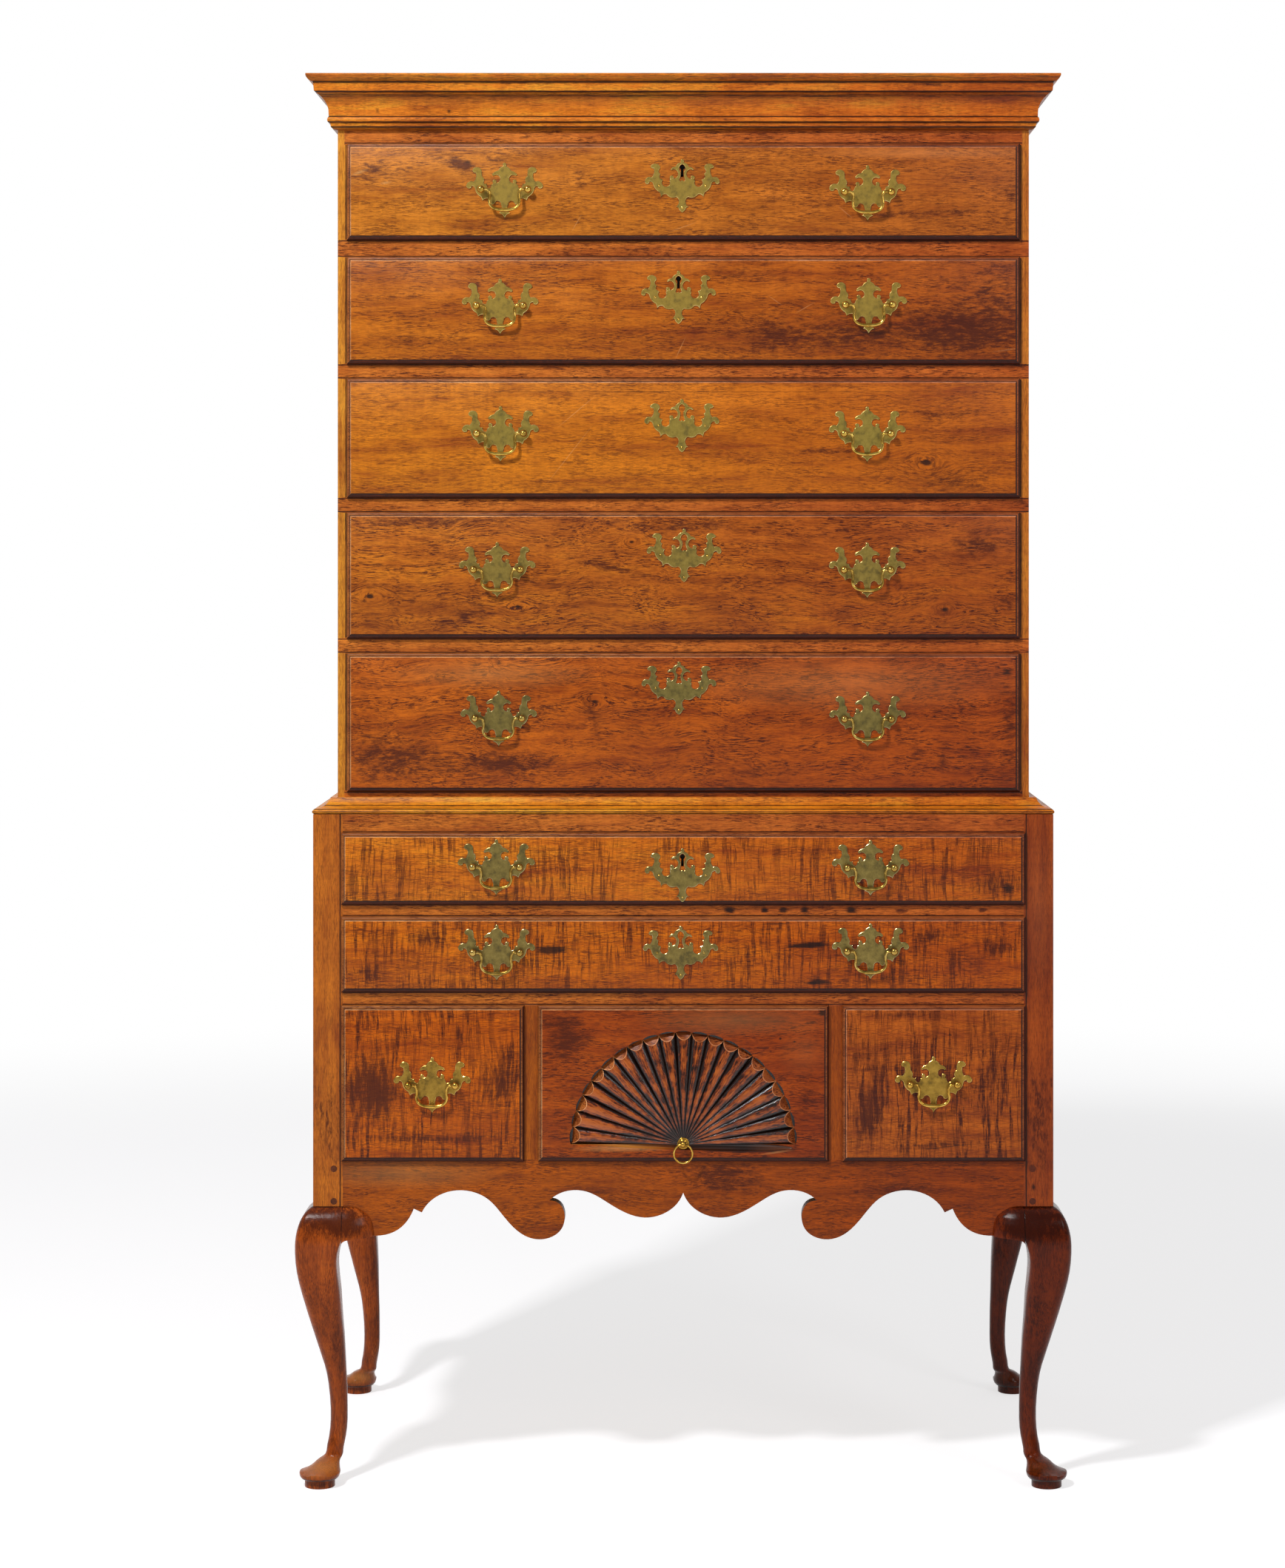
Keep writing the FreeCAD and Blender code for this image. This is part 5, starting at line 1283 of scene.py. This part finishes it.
pattern_bail = swan_bail()
hung = [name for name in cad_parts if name.endswith("_bail")]
for name in hung:
    low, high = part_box(name)
    bail = pattern_bail.copy()
    bail.data = pattern_bail.data.copy()
    bpy.context.collection.objects.link(bail)
    clear_bench()
    bail.select_set(True)
    bpy.context.view_layer.objects.active = bail
    bail.location = Vector(((low.x + high.x) / 2, (low.y + high.y) / 2, 0))
    bail.location.z = low.z + BAIL_PIVOT * MM
    settle(name + "_swan_neck")
    soft_edges(bail, 40)
    finish(bail, name, [handled_brass])
    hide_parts(name)
bpy.data.objects.remove(pattern_bail)
print(len(hung), "bails hung")

# %% [markdown]
# ## The ring pull
#
# The fan drawer has a single ring. A turned rosette covers the hole at the middle of the rays,
# and a ball on its stem is drilled across for the ring. Turned work is drawn as half an
# outline and spun, which is what the lathe does.

# %% Rosette of the ring pull
RING_DROP = 12.5
RING_HALF, RING_TOP_HALF = 1.5, 1.35
SHANK_ROUND, NUT_ROUND, NUT_THICK = 2.5, 6, 3
ROSETTE = ((7.7, 0), (7.7, -0.9), (7.2, -1.3), (6.4, -1.3), (6.1, -1.1), (5.7, -1.7),
           (4.6, -2.4), (3.3, -2.8), (2.5, -3.3), (2.3, -4.4), (2.6, -5.6), (3.5, -6.9),
           (3.95, -8.2), (4, -9.2), (3.7, -10.6), (2.8, -11.9), (1.4, -12.8), (0, -13))
ring_low, ring_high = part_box("fan_drawer_ring")
ring_pivot = Vector((0, (ring_low.y + ring_high.y) / 2, ring_high.z - RING_HALF * MM))


def turned(name, profile, middle):
    """Spins half an outline of (radius, along Y) steps round the Y axis."""
    clear_bench()
    bpy.ops.mesh.primitive_plane_add(size=MM, location=middle)
    piece = settle(name)
    bpy.ops.object.mode_set(mode="EDIT")
    bpy.ops.mesh.select_mode(type="VERT")
    bpy.ops.mesh.select_all(action="SELECT")
    bpy.ops.mesh.merge(type="CENTER")
    bpy.ops.transform.translate(value=mm(profile[0][0], profile[0][1], 0))
    for before, after in zip(profile, profile[1:]):
        bpy.ops.mesh.extrude_vertices_move(TRANSFORM_OT_translate={
            "value": mm(after[0] - before[0], after[1] - before[1], 0)})
    bpy.ops.mesh.select_all(action="SELECT")
    bpy.ops.mesh.spin(steps=48, angle=2 * math.pi, center=middle, axis=(0, 1, 0))
    bpy.ops.mesh.select_all(action="SELECT")
    bpy.ops.mesh.remove_doubles(threshold=0.01 * MM)
    bpy.ops.mesh.normals_make_consistent(inside=False)
    bpy.ops.object.mode_set(mode="OBJECT")
    return piece


nut_end = (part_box("fan_drawer_brasses")[1].y - fan_low.y) / MM
nut_start = nut_end - NUT_THICK
STEM = ((0, nut_end), (NUT_ROUND, nut_end), (NUT_ROUND, nut_start), (SHANK_ROUND, nut_start),
        (SHANK_ROUND, 0))
rosette = turned("ring_pull_rosette", STEM + ROSETTE,
                 Vector((0, fan_low.y, ring_pivot.z)))
soft_edges(rosette, 40)
print("rosette", [round(value / MM, 1) for value in rosette.dimensions])

# %% Ring
clear_bench()
bpy.ops.curve.primitive_bezier_circle_add(radius=RING_DROP * MM, rotation=(math.pi / 2, 0, 0),
                                          location=ring_pivot - mm(0, 0, RING_DROP))
ring = bpy.context.object
for point in ring.data.splines[0].bezier_points:
    point.radius = RING_HALF if point.co.y < 0 else RING_TOP_HALF
ring.data.resolution_u = 24
ring.data.bevel_depth = MM
ring.data.bevel_resolution = 5
bpy.ops.object.convert(target="MESH")
ring = settle("fan_ring")
soft_edges(ring, 40)
finish(ring, "fan_drawer_ring", [handled_brass])
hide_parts("fan_drawer_ring")
print("ring", [round(value / MM, 1) for value in ring.dimensions])

# %% [markdown]
# ## Knee blocks
#
# Each leg's knee swells out on two sides, and a small glued block on either side of it carries
# that swelling on until it dies into the apron or the side board. Seen from the front it is a
# rounded wing under a sloping shoulder. A grid is laid over the block's face and bulged: out by
# the knee's own curve at each height, and less and less towards the wing's end. Its back is
# then drawn out and pressed flat against the board.

# %% One knee block, then six
KNEE_TOP, KNEE_FOOT = 379.3, 338.2
POST_OUTER, POST_INNER, BLOCK_END = 500, 460, 418
KNEE_CURVE = ((328, 22.8), (340, 22), (349, 20.6), (357, 17.9), (365, 14.4), (372, 9.8),
              (376.5, 5), (379.3, 0.9))
WING_PLAN = ((0, 1), (0.2, 0.965), (0.35, 0.905), (0.5, 0.81), (0.7, 0.63), (0.84, 0.45),
             (0.92, 0.28), (0.97, 0.15), (1, 0.05))
WING_TOP = ((0, 0), (0.25, 0), (0.45, -1.6), (0.62, -5.4), (0.74, -8.8), (0.84, -12.5),
            (0.92, -17.6), (0.97, -24), (1, -34))
WING_FOOT = ((0, -5.5), (0.06, -2.5), (0.15, -1), (0.5, 0.3), (1, 0.9))
WING_EDGE = ((340, 1), (356, 0.96), (367, 0.83), (374, 0.62), (377.5, 0.45), (379.3, 0.3))


def along(curve, place):
    """Height of a curve of (place, height) points, straight between them."""
    for (before, low), (after, high) in zip(curve, curve[1:]):
        if place <= after:
            return low + (high - low) * max(place - before, 0) / (after - before)
    return curve[-1][1]


def knee_block(name, corner, spread, outward):
    """A block beside a leg; spread and outward are the ways it runs and swells."""
    clear_bench()
    bpy.ops.mesh.primitive_grid_add(x_subdivisions=22, y_subdivisions=20, size=1)
    block = settle(name)
    for vertex in block.data.vertices:
        share, rise = vertex.co.x + 0.5, vertex.co.y + 0.5
        top = KNEE_TOP + along(WING_TOP, share)
        foot = KNEE_FOOT + along(WING_FOOT, share)
        height = foot + (top - foot) * rise
        swell = along(WING_PLAN, min(share / along(WING_EDGE, height), 1))
        out = max(along(KNEE_CURVE, height) * swell, 0.5)
        vertex.co = corner + spread * (share * (POST_INNER - BLOCK_END) * MM) \
            + outward * (out * MM) + Vector((0, 0, height * MM))
    bpy.ops.object.mode_set(mode="EDIT")
    bpy.ops.mesh.select_all(action="SELECT")
    bpy.ops.mesh.extrude_region_move(TRANSFORM_OT_translate={"value": (0, 0, 0)})
    bpy.ops.transform.resize(value=[1 - abs(part) for part in outward],
                             center_override=corner - outward * 0.2 * MM)
    bpy.ops.mesh.select_all(action="SELECT")
    bpy.ops.mesh.normals_make_consistent(inside=False)
    bpy.ops.object.mode_set(mode="OBJECT")
    soft_edges(block, 50)
    return block


front_plane, rear_plane = facade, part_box("lower_case_back")[1].y
inset = (POST_OUTER - POST_INNER) * MM
wings = []
for side, hand in ((-1, "left"), (1, "right")):
    out_x = Vector((side, 0, 0))
    wings.append(knee_block("front_%s_knee_block" % hand,
                            Vector((side * POST_INNER * MM, front_plane, 0)), -out_x,
                            Vector((0, -1, 0))))
    wings.append(knee_block("side_%s_knee_block" % hand,
                            Vector((side * POST_OUTER * MM, front_plane + inset, 0)),
                            Vector((0, 1, 0)), out_x))
    wings.append(knee_block("rear_%s_knee_block" % hand,
                            Vector((side * POST_OUTER * MM, rear_plane - inset, 0)),
                            Vector((0, -1, 0)), out_x))
for block in wings:
    finish(block, "case", [leg_maple])
    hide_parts("knee_blocks")

# %% [markdown]
# ## Pad feet
#
# A cabriole leg ends in a round pad that juts forward like a slipper. The maker turns its rim
# and then shaves the top hollow, from the ankle out to the rim, which leaves a crisp edge. The
# frame's pad is plump there, so a copy of the legs is drawn in towards the ankle, most of all
# halfway up.

# %% Hollow the tops of the pads
PAD_RIM, ANKLE_LEVEL = 20, 52
ANKLE_ASIDE, ANKLE_BEFORE = 471, 227
PAD_HOLLOW = 0.3


def hollowed_legs():
    """A copy of the four legs whose pads are hollow above the rim."""
    legs = merged_copy("cabriole_legs", "legs_with_hollow_pads")
    middle = (front_plane + rear_plane) / 2
    for vertex in legs.data.vertices:
        rise = (vertex.co.z / MM - PAD_RIM) / (ANKLE_LEVEL - PAD_RIM)
        if 0 < rise < 1:
            ankle = Vector((math.copysign(ANKLE_ASIDE * MM, vertex.co.x),
                            middle + math.copysign(ANKLE_BEFORE * MM, vertex.co.y - middle),
                            vertex.co.z))
            hollow = PAD_HOLLOW * math.sin(math.pi * rise ** 0.6) ** 1.2
            vertex.co = vertex.co.lerp(ankle, hollow)
    legs.data.update()
    soft_edges(legs, 28)
    finish(legs, "case", [leg_maple, post_maple],
           lambda face: 1 if face.center.z > KNEE_TOP * MM else 0)
    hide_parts("cabriole_legs")
    return legs


legs = hollowed_legs()
print("legs", len(legs.data.polygons), "faces")

# %% [markdown]
# ## Finishing the fronts
#
# Wear, dirt and painted shade don't spread evenly over a drawer front. The flat is its own
# board's colour. The little step round it is near-black: partly dirt that has never been wiped
# out, partly painted shade. The top and left edges of the flat get a pale painted highlight, and
# the top and left of the lip keep the lip's colour, while the bottom and right edges of the flat
# and the underside and right side of the lip are painted dark as shade, with some dirt. Behind
# the lip the wood is bare. Each face of the front gets its finish by where it lies and which way
# it looks.

# %% Finish each front
FLAT, GRIME_AND_SHADE_FACE, LIP, SHADED, BARE, PAINTED_HOLLOW, RAY_GROUND, HIGHLIT_ARRIS = range(8)
HOLE_REACH = 12


def front_finish(name):
    """Chooses a finish for each face of a front by its place and the way it looks."""
    face_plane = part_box(name + "_front")[0].y
    rail = face_plane + LIP_OUT * MM
    step, ledge = [face_plane + (THUMB_STEP + off) * MM for off in (-0.05, 0.04)]
    keyhole = KEYHOLES.get(name)

    def choose(face):
        place, way = face.center, face.normal
        if place.y < face_plane + 0.05 * MM and way.y < -0.9:
            return FLAT
        if name == "fan_drawer":
            out = Vector((place.x, 0, place.z - FAN_BASE * MM))
            # the hollow under the fan, with its painted light and shadow
            if -HOLLOW_FOOT * MM < out.z < -0.05 * MM and abs(out.x) < HOLLOW[0] * MM \
                    and place.y < rail and abs(way.z) < 0.999:
                return PAINTED_HOLLOW
            if 0 <= out.z and out.length < RAY_END * MM \
                    and face_plane + 0.02 * MM < place.y < rail + MM:
                return RAY_GROUND
        # the walls of a keyhole: near-black painted shade inside the hole
        if keyhole and abs(way.y) < 0.3 and math.hypot(
                place.x - keyhole[0] * MM, place.z - (keyhole[1] - 4) * MM) < HOLE_REACH * MM:
            return GRIME_AND_SHADE_FACE
        # the edge of the flat: painted highlight on its top and left, painted shade on its bottom
        # and right
        if place.y < step and -0.98 < way.y < -0.2:
            return HIGHLIT_ARRIS if way.z > 0.2 or way.x < -0.2 else SHADED
        # the step round the flat: near-black, partly dirt and partly painted shade
        if place.y < ledge:
            return GRIME_AND_SHADE_FACE
        # the lip: painted shade on its underside and right side, with some dirt
        if place.y < rail - 0.05 * MM:
            return SHADED if way.z < -0.1 or way.x > 0.5 else LIP
        return BARE

    return choose


for name, board in fronts.items():
    finish(board, name, [front_maples[name], grime_and_shade, lip_maple, shaded_lip,
                                         raw_maple, painted_hollow_finish, ray_maple, worn_and_highlit_edge],
           front_finish(name))
    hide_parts(name + "_front")
finish(rays, "fan_drawer", [ray_maple, worn_and_highlit_edge, nail_maple],
       lambda face: face.material_index)
finish(rosette, "fan_drawer", [handled_brass])
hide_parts("fan_drawer_brasses")
print("fronts finished")

# %% [markdown]
# ## Finishing the case
#
# The solids of the case come from the frame as they are and only need their finishes. The grain
# runs up the posts, the upper sides and the uprights between the small drawers, across the
# rails and along each moulding, so one solid may take two or three finishes.

# %% Helpers for the case
DARK_PEGS_BELOW = 444
LOWER_SIDE_OUT, UPPER_SIDE_OUT = 488, 469
UPRIGHT_ASIDE, UPRIGHT_HALF, UPRIGHT_TOP = 205.5, 14, 650


def dress(node, slots, choose=lambda face: 0):
    """Gives a solid of the frame its materials, one for each face."""
    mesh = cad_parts[node].data
    numbers = [choose(face) for face in mesh.polygons]
    mesh.materials.clear()
    for material in slots:
        mesh.materials.append(material)
    mesh.polygons.foreach_set("material_index", numbers)


def moulding_side(face):
    """0 on the front run of a moulding, 1 on its returns, 2 on its top."""
    if face.normal.z > 0.99:
        return 2
    return 1 if abs(face.normal.x) > abs(face.normal.y) + 0.02 else 0


def rail_side(face):
    """0 on the front of a rail, 1 on the front of an upright, 2 on what a drawer hides."""
    if face.center.y > front_plane + 2 * MM:
        return 2
    aside = abs(abs(face.center.x) - UPRIGHT_ASIDE * MM)
    return 1 if aside < UPRIGHT_HALF * MM and face.center.z < UPRIGHT_TOP * MM else 0


def shell_side(face):
    """0 on the outside of the upper case, 1 on its front edges, 2 inside."""
    if face.normal.y < -0.9:
        return 1
    return 0 if abs(face.center.x) > UPPER_SIDE_OUT * MM else 2


print("pegs are dark below", DARK_PEGS_BELOW, "mm")

# %% Finish the case
dress("cabriole_legs", [leg_maple, post_maple],
      lambda face: 1 if face.center.z > KNEE_TOP * MM else 0)
dress("stile_pegs", [peg_maple, post_maple],
      lambda face: 0 if face.center.z < DARK_PEGS_BELOW * MM else 1)
dress("knee_blocks", [leg_maple])
# the apron's edges and scalloped underside take the dark lip finish: painted shade, with some dirt
dress("front_apron", [apron_maple, shaded_lip, raw_maple],
      lambda face: 0 if face.normal.y < -0.5 else 1 if face.normal.y < 0.5 else 2)
dress("lower_case_sides", [lower_side_maple, raw_maple],
      lambda face: 0 if abs(face.center.x) > LOWER_SIDE_OUT * MM else 1)
dress("lower_case_back", [pine_across])
dress("lower_case_rails", [rail_maple, upright_maple, raw_maple], rail_side)
dress("upper_case_shell", [side_maple, upper_edge_maple, raw_maple], shell_side)
dress("upper_case_rails", [rail_maple])
dress("upper_case_back", [pine_upright])
dress("cornice", [cornice_maple, cornice_return, top_maple], moulding_side)
dress("waist_moulding", [waist_maple, waist_return, waist_maple], moulding_side)
dress("drawer_runners", [pine_deep])
for name in DRAWERS:
    dress(name + "_box", [pine_across, pine_deep],
          lambda face: 1 if abs(face.normal.x) > 0.9 else 0)
    dress(name + "_front", [raw_maple])
    dress(name + "_brasses", [plate_brass])
for name in hung + ["fan_drawer_ring"]:
    dress(name, [handled_brass])
print(len(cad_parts), "solids finished")
